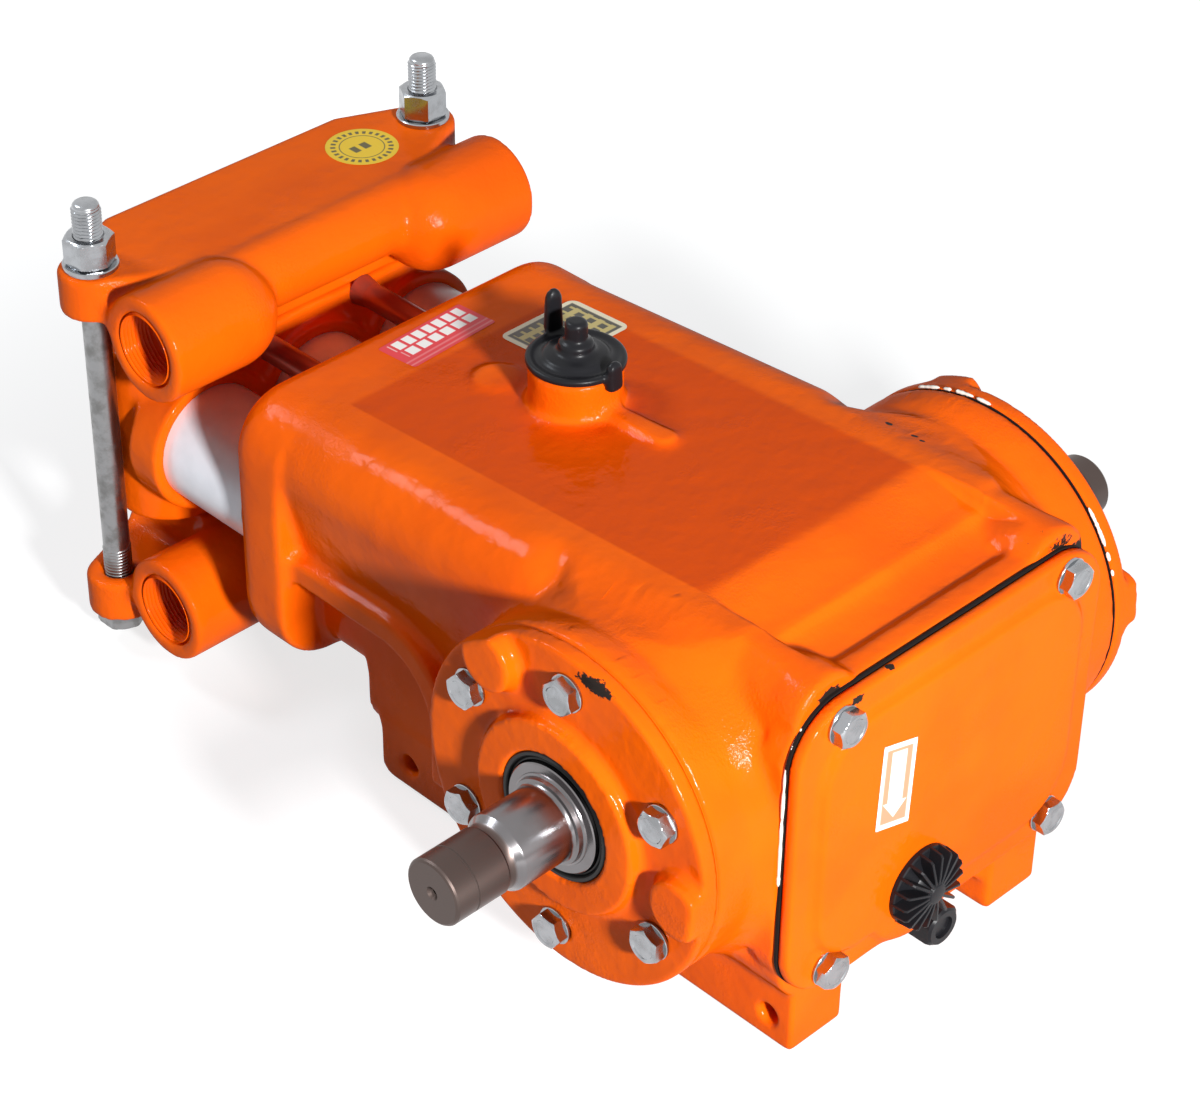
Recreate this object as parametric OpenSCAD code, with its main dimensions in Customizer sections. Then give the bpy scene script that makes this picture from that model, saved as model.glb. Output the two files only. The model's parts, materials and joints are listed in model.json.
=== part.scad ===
// Three-cylinder piston pump: an oil-filled crankcase with a crankshaft that passes through both sides,
// and a fluid end with one discharge manifold above and one suction manifold below.
// X runs along the crankshaft, Y towards the fluid end, Z up. The origin lies on the mounting base,
// at the middle of the pump's footprint.

/* [Stance] */
// Height of the crankshaft axis above the mounting base
axis_h = 131; // [126:1:160]
// Distance from the middle of the pump to the outer face of each foot
foot_half_w = 93; // [84:1:100]
// Width of each foot rail
foot_w = 38; // [28:1:44]
// Height of each foot rail
foot_h = 39; // [34:1:44]
// How far the foot rails run forward of the crankshaft axis
foot_front = 201.5; // [180:0.5:210]
// Bevel on the lower front edge of each foot rail
foot_bevel = 6.5; // [2:0.5:10]
// Radius of the threaded holes in the sides of the feet
foot_hole_r = 6; // [4:0.5:8]
// Height of the foot holes above the mounting base
foot_hole_z = 16; // [12:0.5:18]
// Distance of the rear foot hole from the end of its rail
foot_hole_inset = 16; // [14:1:30]
// Distance between the two foot holes
foot_hole_pitch = 260; // [240:1:266]
// Depth of the foot holes, without their drilled point
foot_hole_depth = 22; // [12:1:26]

/* [Crankcase] */
// Half width of the front wall
wall_half_w = 118; // [110:1:126]
// Distance from the crankshaft axis to the front face
front_y = 288; // [270:1:310]
// Thickness of the front wall where it stands proud of the sides
wall_t = 40; // [24:1:56]
// Height of the front wall above the crankshaft axis
wall_top = 79; // [70:1:90]
// Depth of the front wall below the crankshaft axis
wall_bottom = 78; // [70:1:90]
// Radius of the upper corners of the front wall
wall_corner_r = 34; // [26:1:44]
// Radius of the lower corners of the front wall
wall_lower_r = 34; // [26:1:40]
// Rounding of the edge all round the front face
front_round = 17; // [6:1:20]
// Height of the top face above the axis at its rear edge
top_rear = 97; // [88:1:104]
// Distance of the rear edge of the top face behind the axis
top_rear_y = 54; // [40:1:66]
// Radius of the rounded shoulders along the top
shoulder_r = 31; // [18:1:40]
// Half width of the sides at the shoulders, at the front
side_half_w = 115; // [108:1:116]
// Half width of the sides at the shoulders, above the crankshaft
side_rear_half_w = 119; // [112:1:126]
// Half width of the sides where they meet the ledge
waist_half_w = 99; // [90:1:104]
// Half width of the top panel inside its border
panel_half_w = 76; // [60:1:84]
// Thickness of the ledge along each side
ledge_t = 15; // [8:1:20]
// Depth of the ledge top below the crankshaft axis
ledge_drop = 5; // [2:1:12]
// Distance from the crankshaft axis to the place where the ledge starts to bend down
ledge_bend_y = 178; // [165:1:200]
// Radius of that bend along the top of the ledge
ledge_bend_r = 52; // [40:1:60]
// Half width of the ledge
ledge_half_w = 112; // [106:1:116]
// Half width of the belly below the ledge
belly_half_w = 92; // [86:1:96]
// Depth of the belly below the crankshaft axis
belly_drop = 110; // [100:1:116]
// Distance from the crankshaft axis to the front of the belly
belly_front = 212; // [190:1:230]
// Radius of the lower corners of the belly
belly_r = 24; // [10:1:30]
// Depth of the throat between the belly and the front wall
throat_drop = 76; // [60:1:80]

/* [Bearing housings] */
// Radius of the housing where the bearing cover seats
boss_r = 93; // [88:1:98]
// Distance from the middle of the pump to the housing face
boss_x = 144; // [138:1:150]
// Distance from the middle of the pump to the root of the housing
boss_root_x = 121; // [112:1:130]
// Radius of the barrel round the crank throws
barrel_r = 108; // [102:1:109]
// Half length of the barrel before it slopes down to the housings
barrel_half_w = 91; // [84:1:100]
// Radius of the round opening that the cover spigot enters
spigot_r = 50; // [44:1:56]
// Length of the cover spigot
spigot_len = 16; // [10:1:24]

/* [Bearing covers] */
// Radius of the cover flange
cover_r = 93; // [88:1:96]
// Thickness of the cover flange
cover_t = 9.2; // [7:0.2:14]
// Radius of the raised hub round the shaft seal
hub_r = 52; // [48:1:56]
// Height of the raised hub
hub_h = 7; // [4:0.5:12]
// Thickness of the shim under the cover
shim_t = 0.6; // [0.4:0.1:1.5]
// Number of cover bolts
cover_bolts = 6; // [4:1:8]
// Radius of the bolt circle
cover_bolt_circle = 73.5; // [66:0.5:80]
// Radius of the cover bolt holes
cover_hole_r = 5.5; // [4.5:0.5:6.5]
// Angles of the two lifting lugs on the left cover, from the fluid end upwards
left_lugs = [57, 184]; // [0:1:360]
// Angles of the two lifting lugs on the right cover
right_lugs = [68, 174]; // [0:1:360]
// Radius of the circle on which the lugs sit
ear_circle = 81; // [78:1:84]
// Radius of each lug
ear_r = 16; // [13:1:18]
// Height of each lug over the flange
ear_h = 9; // [5:0.5:12]

/* [Rear cover] */
// Distance from the crankshaft axis to the rear joint face
rear_y = 97; // [90:1:112]
// Half width of the rear cover
rear_half_w = 109; // [100:1:114]
// Height of the rear cover above the axis
rear_top = 86; // [80:1:92]
// Depth of the rear cover below the axis
rear_bottom = 87; // [80:1:92]
// Corner radius of the rear cover
rear_corner_r = 32; // [22:1:40]
// Thickness of the rear cover flange
rear_t = 7; // [5:0.5:12]
// Thickness of the gasket
gasket_t = 1.6; // [0.8:0.2:3]
// Margin from the edge of the cover to its raised field
dome_margin = 17; // [12:1:24]
// Height of the raised field
dome_h = 4; // [2:0.5:8]
// Sideways place of the four cover bolts
rear_bolt_x = 81; // [70:1:86]
// Height of the four cover bolts above and below the axis
rear_bolt_z = 74; // [64:1:76]
// Radius of the bolt holes
rear_hole_r = 5.5; // [4.5:0.5:6.5]
// Radius of the thick corner of the casting behind each bolt
ridge_r = 22; // [16:1:24]
// Sideways place of the oil level plug
plug_x = -20; // [-40:1:40]
// Depth of the oil level plug below the axis
plug_drop = 56; // [40:1:58]
// Radius of the finned head of the plug
plug_r = 22; // [16:0.5:24]
// Height of the finned head
plug_h = 13; // [8:0.5:20]
// Number of fins round the plug
plug_fins = 18; // [12:1:24]
// Thickness of each fin
plug_fin_t = 2; // [1.2:0.2:2]
// Radius of the hub in the middle of the finned head
plug_hub_r = 7.5; // [7.5:0.5:10]
// Height of the round base of the plug
plug_base_h = 4; // [2:0.5:6]
// Sideways place of the drain plug
drain_x = 2; // [-30:1:30]
// Distance across the flats of the drain plug
drain_flats = 21; // [16:0.5:21.5]
// Length of the drain plug head
drain_len = 21; // [14:1:26]
// Clearance between the drain plug and the rear cover above it
drain_clear = 1.5; // [0.5:0.5:4]

/* [Crankshaft] */
// Radius of the shaft where the seals run
journal_r = 22.5; // [20:0.5:26]
// Radius of the collar outside the seal
collar_r = 20; // [18.5:0.5:22]
// Radius of the drive ends
shaft_r = 17.5; // [15:0.5:18]
// Distance from the middle of the pump to each shaft end
shaft_end_x = 236; // [225:1:250]
// Length of each drive end
shaft_end_len = 33; // [25:1:45]
// Length of the neck between the collar and the drive end
neck_len = 4; // [2:0.5:8]
// Depth of the neck below the drive end
neck_cut = 1; // [0.5:0.5:2]
// Length of the journal that shows outside each seal
journal_out = 4; // [2:0.5:8]
// Bevel on each shaft end
shaft_bevel = 2; // [1:0.5:4]
// Radius of the centre hole in each shaft end
centre_hole_r = 3; // [2:0.5:5]
// Depth of the centre hole
centre_hole_depth = 7; // [4:1:12]
// Radial clearance of the shaft in its bearings
shaft_fit = 0.05; // [0.02:0.01:0.1]
// Radial thickness of the shaft seal
seal_t = 12; // [8:0.5:14]
// Depth of the seal recess in the cover
seal_depth = 8; // [6:0.5:12]

/* [Cylinders] */
// Distance between neighbouring cylinders
pitch = 75.6; // [72:0.2:80]
// Radius of the sleeve round each plunger
sleeve_r = 34; // [28:0.5:35]
// Distance from the crankshaft axis to the seat of the sleeves in the head
head_y = 352; // [330:1:354]
// Depth of the counterbore that locates each sleeve
sleeve_seat = 6; // [3:0.5:10]
// Radial clearance of the sleeves in their counterbores
sleeve_fit = 0.3; // [0.2:0.1:0.5]
// Radius of the spacer rods between the crankcase and the head
spacer_r = 7.4; // [5:0.2:8]
// Height of the upper spacer rods above the axis
spacer_z = 46; // [42:1:48]
// Length of the flare at the head end of each rod
flare_len = 9; // [5:1:14]
// Radius added by the flare
flare_out = 1.6; // [0.8:0.2:2.4]

/* [Cylinder head] */
// Distance from the crankshaft axis to the valve chambers and the tie rods
chamber_y = 393; // [388:1:398]
// Radius of each valve chamber
chamber_r = 32.5; // [30:0.5:34]
// Radius of the round boss that each sleeve enters
ring_r = 41; // [38:0.5:44]
// Length of the round boss
ring_len = 24; // [20:1:30]
// Half height of the head block
block_half_h = 51; // [40:1:52]
// Half height of the head to its joints with the manifolds
head_half_h = 52; // [48:1:56]

/* [Manifolds] */
// Distance from the crankshaft axis to the manifold pipes
pipe_y = 341; // [338:1:346]
// Height of the discharge pipe above the axis
discharge_z = 85.5; // [82:0.5:90]
// Depth of the suction pipe below the axis
suction_z = 83; // [80:0.5:90]
// Radius of the pipe ends
pipe_end_r = 30; // [28:0.5:33]
// Length of each enlarged pipe end, up to its round shoulder
pipe_end_len = 52; // [50:1:70]
// Radius of the pipe between its ends
pipe_r = 20; // [18:0.5:22]
// How far the middle of the pipe is set back towards the tie rods
pipe_back = 9; // [6:0.5:10]
// How far the middle of the pipe is set towards the clamp plate face
pipe_lift = 6; // [4:0.5:7]
// Distance from the middle of the pump to the port faces
port_x = 126; // [124:1:134]
// Radius of the port threads
port_r = 20.95; // [18:0.05:24]
// Depth of the port threads
port_depth = 24; // [18:1:30]
// Radius of the passage behind each port
passage_r = 16.5; // [12:0.5:18]
// Length of the passage behind each port
passage_len = 24; // [16:1:34]
// Height of the clamp plate face above or below the axis
plate_z = 110.5; // [106:0.5:116]
// Depth of the clamp plate from front to back
plate_depth = 70; // [66:1:78]
// How far the straight back edge of the clamp plate runs past the outer cylinders
plate_over = 5.4; // [2:0.2:10]
// Thickness of the ears at the ends of the clamp plate
ear_plate_t = 25; // [20:1:36]
// Radius of the ears
plate_ear_r = 18; // [16:0.5:20]

/* [Tie rods] */
// Clearance between the outer valve chambers and the tie rods
tie_gap = 0.9; // [0.5:0.1:6]
// Radius of the tie rods
tie_r = 8; // [6:0.5:9]
// Radial clearance of the tie rods in the ears
tie_fit = 0.5; // [0.3:0.1:1]
// Height of the tie rod ends above the axis
tie_top = 149; // [142:1:158]
// Distance across the flats of the nuts and heads
hex_flats = 24; // [22:1:26]
// Height of the nuts
nut_h = 16; // [12:0.5:18]
// Height of the tie rod heads
head_h = 10; // [8:0.5:12]
// Radius of the washers
washer_r = 15; // [13:0.5:17]
// Thickness of the washers
washer_t = 3; // [2:0.5:4]

/* [Oil filler] */
// Sideways place of the filler
filler_x = 5; // [-20:1:20]
// Distance of the filler in front of the crankshaft axis
filler_y = 154.5; // [130:0.5:170]
// Radius of the filler neck
neck_r = 24.5; // [20:0.5:25]
// Height of the filler neck over the top face
neck_h = 24; // [18:1:28]
// Direction of the small rib behind the neck
rib_angle = -87; // [-110:1:-50]
// Distance from the filler to the end of the rib
rib_reach = 60; // [40:1:70]
// Width of the rib
rib_w = 11; // [6:1:14]
// Height of the rib over the top face
rib_h = 3.5; // [2:0.5:6]
// Sideways place of the low round pad in front of the neck
pad_x = -7; // [-20:1:20]
// Distance of the pad in front of the crankshaft axis
pad_y = 200; // [192:1:215]
// Radius of the pad
pad_r = 12; // [8:1:16]
// Height of the pad over the top face
pad_h = 2; // [1:0.5:4]
// Radius of the filler cap
cap_r = 26; // [25.5:0.5:28]
// Thickness of the cap rim
cap_t = 4; // [3:0.5:8]
// Radius of the ring round the knob
knob_ring_r = 10; // [8:0.5:14]
// Height of the ring round the knob
knob_ring_h = 6; // [3:0.5:8]
// Radius of the knob in the middle of the cap
knob_r = 6; // [4:0.5:7.5]
// Height of the knob over the cap rim
knob_h = 20; // [12:0.5:24]
// Thickness of the two finger lugs
wing_t = 7; // [5:0.5:9]
// Direction of the upright lug
upright_angle = 72; // [0:1:360]
// Height of the upright lug over the cap rim
upright_up = 24; // [12:1:28]
// Depth of the upright lug below the top of the cap rim
upright_down = 2; // [1:0.5:3]
// Direction of the hanging lug
hanging_angle = 272; // [0:1:360]
// Height of the hanging lug over the cap rim
hanging_up = 7; // [3:1:10]
// Depth of the hanging lug below the top of the cap rim
hanging_down = 10; // [6:1:14]

/* [Hidden] */

// Facets of true round faces
$fn = 64;
// Facets of round shapes inside a hull
hull_fn = 32;
// Paint and metal colours
enamel = [0.93, 0.38, 0.02];
bare_steel = [0.62, 0.63, 0.64];
zinc = [0.78, 0.80, 0.82];
plastic_black = [0.06, 0.06, 0.07];
rubber_black = [0.10, 0.10, 0.10];
sleeve_white = [0.92, 0.92, 0.93];
rod_copper = [0.55, 0.25, 0.19];
// A gap that keeps touching pieces of different materials apart
gap = 0.3;
// A length by which cuts run past the faces that they open
past = 1;
// A length by which joined shapes run into each other
bite = 0.5;
// Slope of the conical bottom that a drill leaves
drill_rise = 31;

top_front_y = front_y - wall_t;
top_slope = atan((top_rear - wall_top) / (top_front_y + top_rear_y));
cover_face_x = boss_x + shim_t + cover_t;
seal_r = journal_r + seal_t;
rear_face_y = rear_y + gasket_t + rear_t;
belly_rear_y = rear_t - rear_y;
drill_point = foot_hole_r * tan(drill_rise);
tie_x = pitch + chamber_r + tie_gap + tie_r;
plate_half_w = pitch + plate_over;
plate_front_y = chamber_y - plate_depth / 2;
// Distance from the crankshaft axis to the middle of the pump's footprint
centre_y = (chamber_y + plate_depth / 2 - rear_face_y - dome_h - plug_h) / 2;

// Height of the top face above the axis at a distance y in front of the axis
function top_z(y) = top_rear - (y + top_rear_y) * tan(top_slope);

// Rounded rectangle from true arcs, centred, w wide and h high
module rounded_rect(w, h, r) {
    square([w - 2 * r, h], center = true);
    square([w, h - 2 * r], center = true);
    for (x = [-1, 1], y = [-1, 1]) translate([x * (w / 2 - r), y * (h / 2 - r)]) circle(r);
}

// Children drawn in X and Z, extruded from y0 to y1
module along_y(y0, y1) {
    translate([0, y1, 0]) rotate([90, 0, 0]) linear_extrude(y1 - y0) children();
}

// Children drawn in Y and Z, extruded from x0 to x1
module along_x(x0, x1) {
    translate([x0, 0, 0]) rotate([90, 0, 90]) linear_extrude(x1 - x0) children();
}

// Round bar along X
module bar_x(x0, x1, r) {
    translate([x0, 0, 0]) rotate([0, 90, 0]) cylinder(h = x1 - x0, r = r);
}

// Round bar along Y
module bar_y(y0, y1, r) {
    translate([0, y1, 0]) rotate([90, 0, 0]) cylinder(h = y1 - y0, r = r);
}

// Hexagon by its flats
module hexagon(flats, h) {
    cylinder(h = h, r = flats / sqrt(3), $fn = 6);
}

// Sets down a shape drawn over the mounting base, with Y from the crankshaft axis
module on_base() {
    translate([0, -centre_y, 0]) children();
}

// Lifts a shape drawn round the crankshaft axis to its height
module on_axis() {
    on_base() translate([0, 0, axis_h]) children();
}

// A shape drawn on the right and repeated on the left
module both_sides() {
    children();
    mirror([1, 0, 0]) children();
}

// Places of the bolts on a circle round the X axis, starting straight up
module on_bolt_circle() {
    for (i = [0 : cover_bolts - 1]) rotate([i * 360 / cover_bolts, 0, 0])
        translate([0, 0, cover_bolt_circle]) children();
}

// Places of the four bolts of the rear cover
module at_rear_bolts() {
    for (x = [-1, 1], z = [-1, 1]) translate([x * rear_bolt_x, 0, z * rear_bolt_z]) children();
}

// Block below the axis, w wide and drop deep, with rounded lower corners
module lower_block(w, drop, r) {
    translate([-w / 2, r - drop]) square([w, drop - r]);
    translate([r - w / 2, -drop]) square([w - 2 * r, drop]);
    for (x = [-1, 1]) translate([x * (w / 2 - r), r - drop]) circle(r);
}

// Upper casting: rounded shoulders that widen and rise towards the rear, sides that draw in below
module upper_body() {
    shoulders = [[0, side_rear_half_w], [top_front_y + wall_t / 2, side_half_w]];
    hull() for (s = shoulders, x = [-1, 1]) {
        translate([x * (s[1] - shoulder_r), s[0], top_z(s[0]) - shoulder_r])
            rotate([90, 0, 0]) cylinder(h = past, r = shoulder_r, $fn = 2 * hull_fn);
        translate([x * waist_half_w - past / 2, s[0] - past, -ledge_drop - ledge_t])
            cube([past, past, ledge_t]);
    }
}

// Front wall, rounded all round its front face
module front_wall() {
    hull() for (a = [0 : 15 : 90], x = [-1, 1]) {
        inset = front_round * (1 - cos(a));
        face_y = front_y - front_round * (1 - sin(a));
        translate([x * (wall_half_w - wall_corner_r), face_y, wall_top - wall_corner_r])
            rotate([90, 0, 0]) cylinder(h = face_y - top_front_y, r = wall_corner_r - inset, $fn = hull_fn);
        translate([x * (wall_half_w - wall_lower_r), face_y, wall_lower_r - wall_bottom])
            rotate([90, 0, 0]) cylinder(h = face_y - top_front_y, r = wall_lower_r - inset, $fn = hull_fn);
    }
}

// Ledge along both sides that bends down in front of the bearing housings and runs on to the feet
module ledge() {
    bend_z = -ledge_drop - ledge_bend_r;
    along_x(-ledge_half_w, ledge_half_w) {
        translate([ledge_bend_y, -ledge_drop - ledge_t])
            square([top_front_y + wall_t / 2 - ledge_bend_y, ledge_t]);
        translate([ledge_bend_y, bend_z]) intersection() {
            difference() {
                circle(ledge_bend_r);
                circle(ledge_bend_r - ledge_t);
            }
            translate([-2 * ledge_bend_r, 0]) square(2 * ledge_bend_r);
        }
        translate([ledge_bend_y - ledge_bend_r, foot_h - axis_h]) square([ledge_t, bend_z - foot_h + axis_h]);
    }
}

// Belly of the crankcase below the ledge, and the throat that joins it to the front wall
module belly() {
    along_y(belly_rear_y, belly_front) lower_block(2 * belly_half_w, belly_drop, belly_r);
    along_y(0, front_y - wall_t / 2) lower_block(2 * belly_half_w, throat_drop, belly_r);
}

// Outline of the rear joint, drawn in by a margin
module rear_outline(margin) {
    translate([0, (rear_top - rear_bottom) / 2])
        rounded_rect(2 * (rear_half_w - margin), rear_top + rear_bottom - 2 * margin, rear_corner_r);
}

// Rear frame that carries the rear cover, with a thick corner behind each bolt
module rear_frame() {
    along_y(-rear_y, -rear_y + 2 * rear_t) rear_outline(0);
    along_y(-rear_y, 0) translate([0, (rear_top - rear_bottom) / 2])
        rounded_rect(2 * waist_half_w, rear_top + rear_bottom - rear_corner_r, rear_corner_r / 2);
    at_rear_bolts() bar_y(-rear_y, -rear_y / 2, ridge_r);
}

// Barrel round the crank throws and the two bearing housings at its ends
module barrel() {
    both_sides() {
        bar_x(0, barrel_half_w, barrel_r);
        translate([barrel_half_w, 0, 0]) rotate([0, 90, 0])
            cylinder(h = boss_root_x - barrel_half_w, r1 = barrel_r, r2 = boss_r);
        bar_x(boss_root_x, boss_x, boss_r);
    }
}

// Space above the plane of the top panel, from one housing to the other
module above_panel() {
    translate([-boss_root_x, -barrel_r, top_z(-barrel_r)]) rotate([-top_slope, 0, 0])
        cube([2 * boss_root_x, barrel_r + top_front_y, barrel_r]);
}

// Slab that carries the top panel over the barrel and ends in a low step behind it
module panel_slab() {
    hull() for (y = [-top_rear_y, top_front_y]) translate([-panel_half_w, y, 0])
        cube([2 * panel_half_w, past, top_z(y)]);
}

// Filler neck with the small rib behind it and the low pad in front of it
module filler_neck() {
    translate([filler_x, filler_y, top_z(filler_y) - neck_h]) {
        cylinder(h = 2 * neck_h, r = neck_r);
        rotate([0, 0, rib_angle]) {
            translate([0, -rib_w / 2, 0]) cube([rib_reach, rib_w, neck_h + 2 * rib_h]);
            translate([rib_reach, 0, 0]) cylinder(h = neck_h + 2 * rib_h, r = rib_w / 2);
        }
    }
    translate([pad_x, pad_y, 0]) cylinder(h = top_z(pad_y) + pad_h, r = pad_r);
}

// One foot rail
module foot() {
    along_x(foot_half_w - foot_w, foot_half_w) polygon([
        [-rear_y, 0], [foot_front - foot_bevel, 0], [foot_front, foot_bevel],
        [foot_front, foot_h], [-rear_y, foot_h],
    ]);
}

// The two threaded holes in the side of one foot, with their drilled points
module foot_holes() {
    for (y = [0, foot_hole_pitch])
        translate([foot_half_w - foot_hole_depth, y + foot_hole_inset - rear_y, foot_hole_z])
            rotate([0, 90, 0]) {
                cylinder(h = foot_hole_depth + past, r = foot_hole_r);
                translate([0, 0, -drill_point]) cylinder(h = drill_point, r1 = 0, r2 = foot_hole_r);
            }
}

module crankcase() {
    color(enamel) difference() {
        union() {
            on_axis() {
                upper_body();
                front_wall();
                ledge();
                belly();
                rear_frame();
                difference() {
                    barrel();
                    above_panel();
                    translate([-wall_half_w, -2 * rear_y, -rear_y])
                        cube([2 * wall_half_w, rear_y, 2 * rear_y]);
                }
                panel_slab();
                filler_neck();
            }
            both_sides() on_base() foot();
        }
        on_axis() bar_x(-boss_x - past, boss_x + past, spigot_r + gap);
        both_sides() on_base() foot_holes();
    }
}

module rear_cover() {
    color(enamel) on_axis() difference() {
        union() {
            along_y(-rear_face_y, -rear_y - gasket_t) rear_outline(0);
            along_y(-rear_face_y - dome_h, -rear_face_y) rear_outline(dome_margin);
        }
        at_rear_bolts() bar_y(-rear_face_y - dome_h - past, -rear_y, rear_hole_r);
    }
}

module rear_cover_gasket() {
    color(rubber_black) on_axis() difference() {
        along_y(-rear_y - gasket_t, -rear_y) rear_outline(0);
        at_rear_bolts() bar_y(-rear_y - gasket_t - past, -rear_y + past, rear_hole_r);
    }
}

module bearing_cover(lugs) {
    color(enamel) on_axis() difference() {
        union() {
            bar_x(boss_x + shim_t, cover_face_x, cover_r);
            bar_x(boss_x - spigot_len, boss_x + shim_t, spigot_r);
            bar_x(cover_face_x, cover_face_x + hub_h, hub_r);
            intersection() {
                bar_x(boss_x + shim_t, cover_face_x + ear_h, cover_r);
                for (a = lugs) rotate([a, 0, 0]) translate([0, ear_circle, 0])
                    bar_x(boss_x + shim_t, cover_face_x + ear_h, ear_r);
            }
        }
        bar_x(0, shaft_end_x, journal_r + shaft_fit);
        bar_x(cover_face_x + hub_h - seal_depth, shaft_end_x, seal_r);
        on_bolt_circle() bar_x(boss_x, cover_face_x + past, cover_hole_r);
    }
}

module bearing_cover_left() mirror([1, 0, 0]) bearing_cover(left_lugs);

module bearing_cover_right() bearing_cover(right_lugs);

module cover_shim() {
    color(zinc) on_axis() difference() {
        bar_x(boss_x, boss_x + shim_t, cover_r - past);
        bar_x(0, shaft_end_x, spigot_r + gap);
        on_bolt_circle() bar_x(boss_x - past, cover_face_x, cover_hole_r);
    }
}

module cover_shim_left() mirror([1, 0, 0]) cover_shim();

module cover_shim_right() cover_shim();

module shaft_seal() {
    seal_x = cover_face_x + hub_h - seal_depth;
    color(rubber_black) on_axis() difference() {
        bar_x(seal_x, seal_x + seal_depth - past, seal_r - shaft_fit);
        bar_x(0, shaft_end_x, journal_r + shaft_fit);
    }
}

module shaft_seal_left() mirror([1, 0, 0]) shaft_seal();

module shaft_seal_right() shaft_seal();

// Half of the crankshaft, from the middle to one drive end
module half_shaft() {
    drive_x = shaft_end_x - shaft_end_len;
    collar_x = cover_face_x + hub_h + journal_out;
    bar_x(0, collar_x, journal_r);
    bar_x(collar_x, drive_x - neck_len, collar_r);
    bar_x(drive_x - neck_len, drive_x, shaft_r - neck_cut);
    bar_x(drive_x, shaft_end_x - shaft_bevel, shaft_r);
    translate([shaft_end_x - shaft_bevel, 0, 0]) rotate([0, 90, 0])
        cylinder(h = shaft_bevel, r1 = shaft_r, r2 = shaft_r - shaft_bevel);
}

module crankshaft() {
    color(bare_steel) on_axis() difference() {
        both_sides() half_shaft();
        both_sides() bar_x(shaft_end_x - centre_hole_depth, shaft_end_x + past, centre_hole_r);
    }
}

// Finger lug on the rim of the cap, from its depth below the top of the rim to its height over it
module cap_lug(angle, down, up) {
    rotate([0, 0, angle]) translate([cap_r - wing_t / 2, -wing_t / 2, cap_t - down])
        cube([wing_t, wing_t, down + up]);
}

module oil_filler_cap() {
    color(plastic_black) on_axis() translate([filler_x, filler_y, top_z(filler_y) + neck_h]) {
        cylinder(h = cap_t, r = cap_r);
        cylinder(h = cap_t + knob_ring_h, r = knob_ring_r);
        cylinder(h = cap_t + knob_h, r = knob_r);
        cap_lug(upright_angle, upright_down, upright_up);
        difference() {
            cap_lug(hanging_angle, hanging_down, hanging_up);
            translate([0, 0, -hanging_down]) cylinder(h = hanging_down, r = neck_r + gap);
        }
    }
}

module oil_level_plug() {
    color(plastic_black) on_axis() translate([plug_x, -rear_face_y - dome_h, -plug_drop]) rotate([90, 0, 0]) {
        cylinder(h = plug_base_h, r = plug_r);
        cylinder(h = plug_h, r = plug_hub_r);
        for (i = [0 : plug_fins - 1]) rotate([0, 0, i * 360 / plug_fins])
            translate([plug_hub_r - bite, -plug_fin_t / 2, plug_base_h / 2])
                cube([plug_r - plug_hub_r - bite, plug_fin_t, plug_h - plug_base_h]);
    }
}

module drain_plug() {
    color(plastic_black) on_axis()
        translate([drain_x, belly_rear_y, -rear_bottom - drain_clear - drain_flats / 2]) rotate([90, 0, 0])
            hexagon(drain_flats, drain_len);
}

// One cylinder of the head: valve chamber, sleeve boss and the block between them
module head_cylinder() {
    translate([0, chamber_y, -head_half_h]) cylinder(h = 2 * head_half_h, r = chamber_r);
    bar_y(head_y, head_y + ring_len, ring_r);
}

module cylinder_head() {
    color(enamel) on_axis() difference() {
        union() {
            for (i = [-1 : 1]) translate([i * pitch, 0, 0]) head_cylinder();
            translate([-pitch, head_y + sleeve_seat, -block_half_h])
                cube([2 * pitch, chamber_y - head_y - sleeve_seat + chamber_r, 2 * block_half_h]);
        }
        for (i = [-1 : 1]) translate([i * pitch, 0, 0])
            bar_y(head_y - past, head_y + sleeve_seat, sleeve_r + sleeve_fit);
    }
}

// Manifold casting: clamp plate with two ears, and a pipe that ends in two round-shouldered ports
module manifold(pipe_z) {
    difference() {
        union() {
            translate([-plate_half_w, plate_front_y, head_half_h + gap])
                cube([2 * plate_half_w, plate_depth, plate_z - head_half_h - gap]);
            hull() {
                translate([-plate_half_w, plate_front_y, plate_z - ear_plate_t])
                    cube([2 * plate_half_w, plate_depth, ear_plate_t]);
                for (x = [-1, 1]) translate([x * tie_x, chamber_y, plate_z - ear_plate_t])
                    cylinder(h = ear_plate_t, r = plate_ear_r);
            }
            translate([0, pipe_y + pipe_back, pipe_z + pipe_lift])
                bar_x(-port_x + pipe_end_len, port_x - pipe_end_len, pipe_r);
            translate([0, pipe_y, pipe_z]) both_sides() {
                bar_x(port_x - pipe_end_len, port_x, pipe_end_r);
                translate([port_x - pipe_end_len, 0, 0]) sphere(r = pipe_end_r);
            }
        }
        for (x = [-1, 1]) translate([x * tie_x, chamber_y, 0]) cylinder(h = 2 * plate_z, r = tie_r + tie_fit);
        translate([0, pipe_y, pipe_z]) both_sides() {
            bar_x(port_x - port_depth - passage_len, port_x, passage_r);
            bar_x(port_x - port_depth, port_x + past, port_r);
        }
    }
}

module discharge_manifold() {
    color(enamel) on_axis() manifold(discharge_z);
}

module suction_manifold() {
    color(enamel) on_axis() mirror([0, 0, 1]) manifold(suction_z);
}

module sleeve(x) {
    color(sleeve_white) on_axis() translate([x, 0, 0])
        bar_y(front_y, head_y + sleeve_seat, sleeve_r);
}

module sleeve_left() sleeve(-pitch);

module sleeve_middle() sleeve(0);

module sleeve_right() sleeve(pitch);

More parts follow.
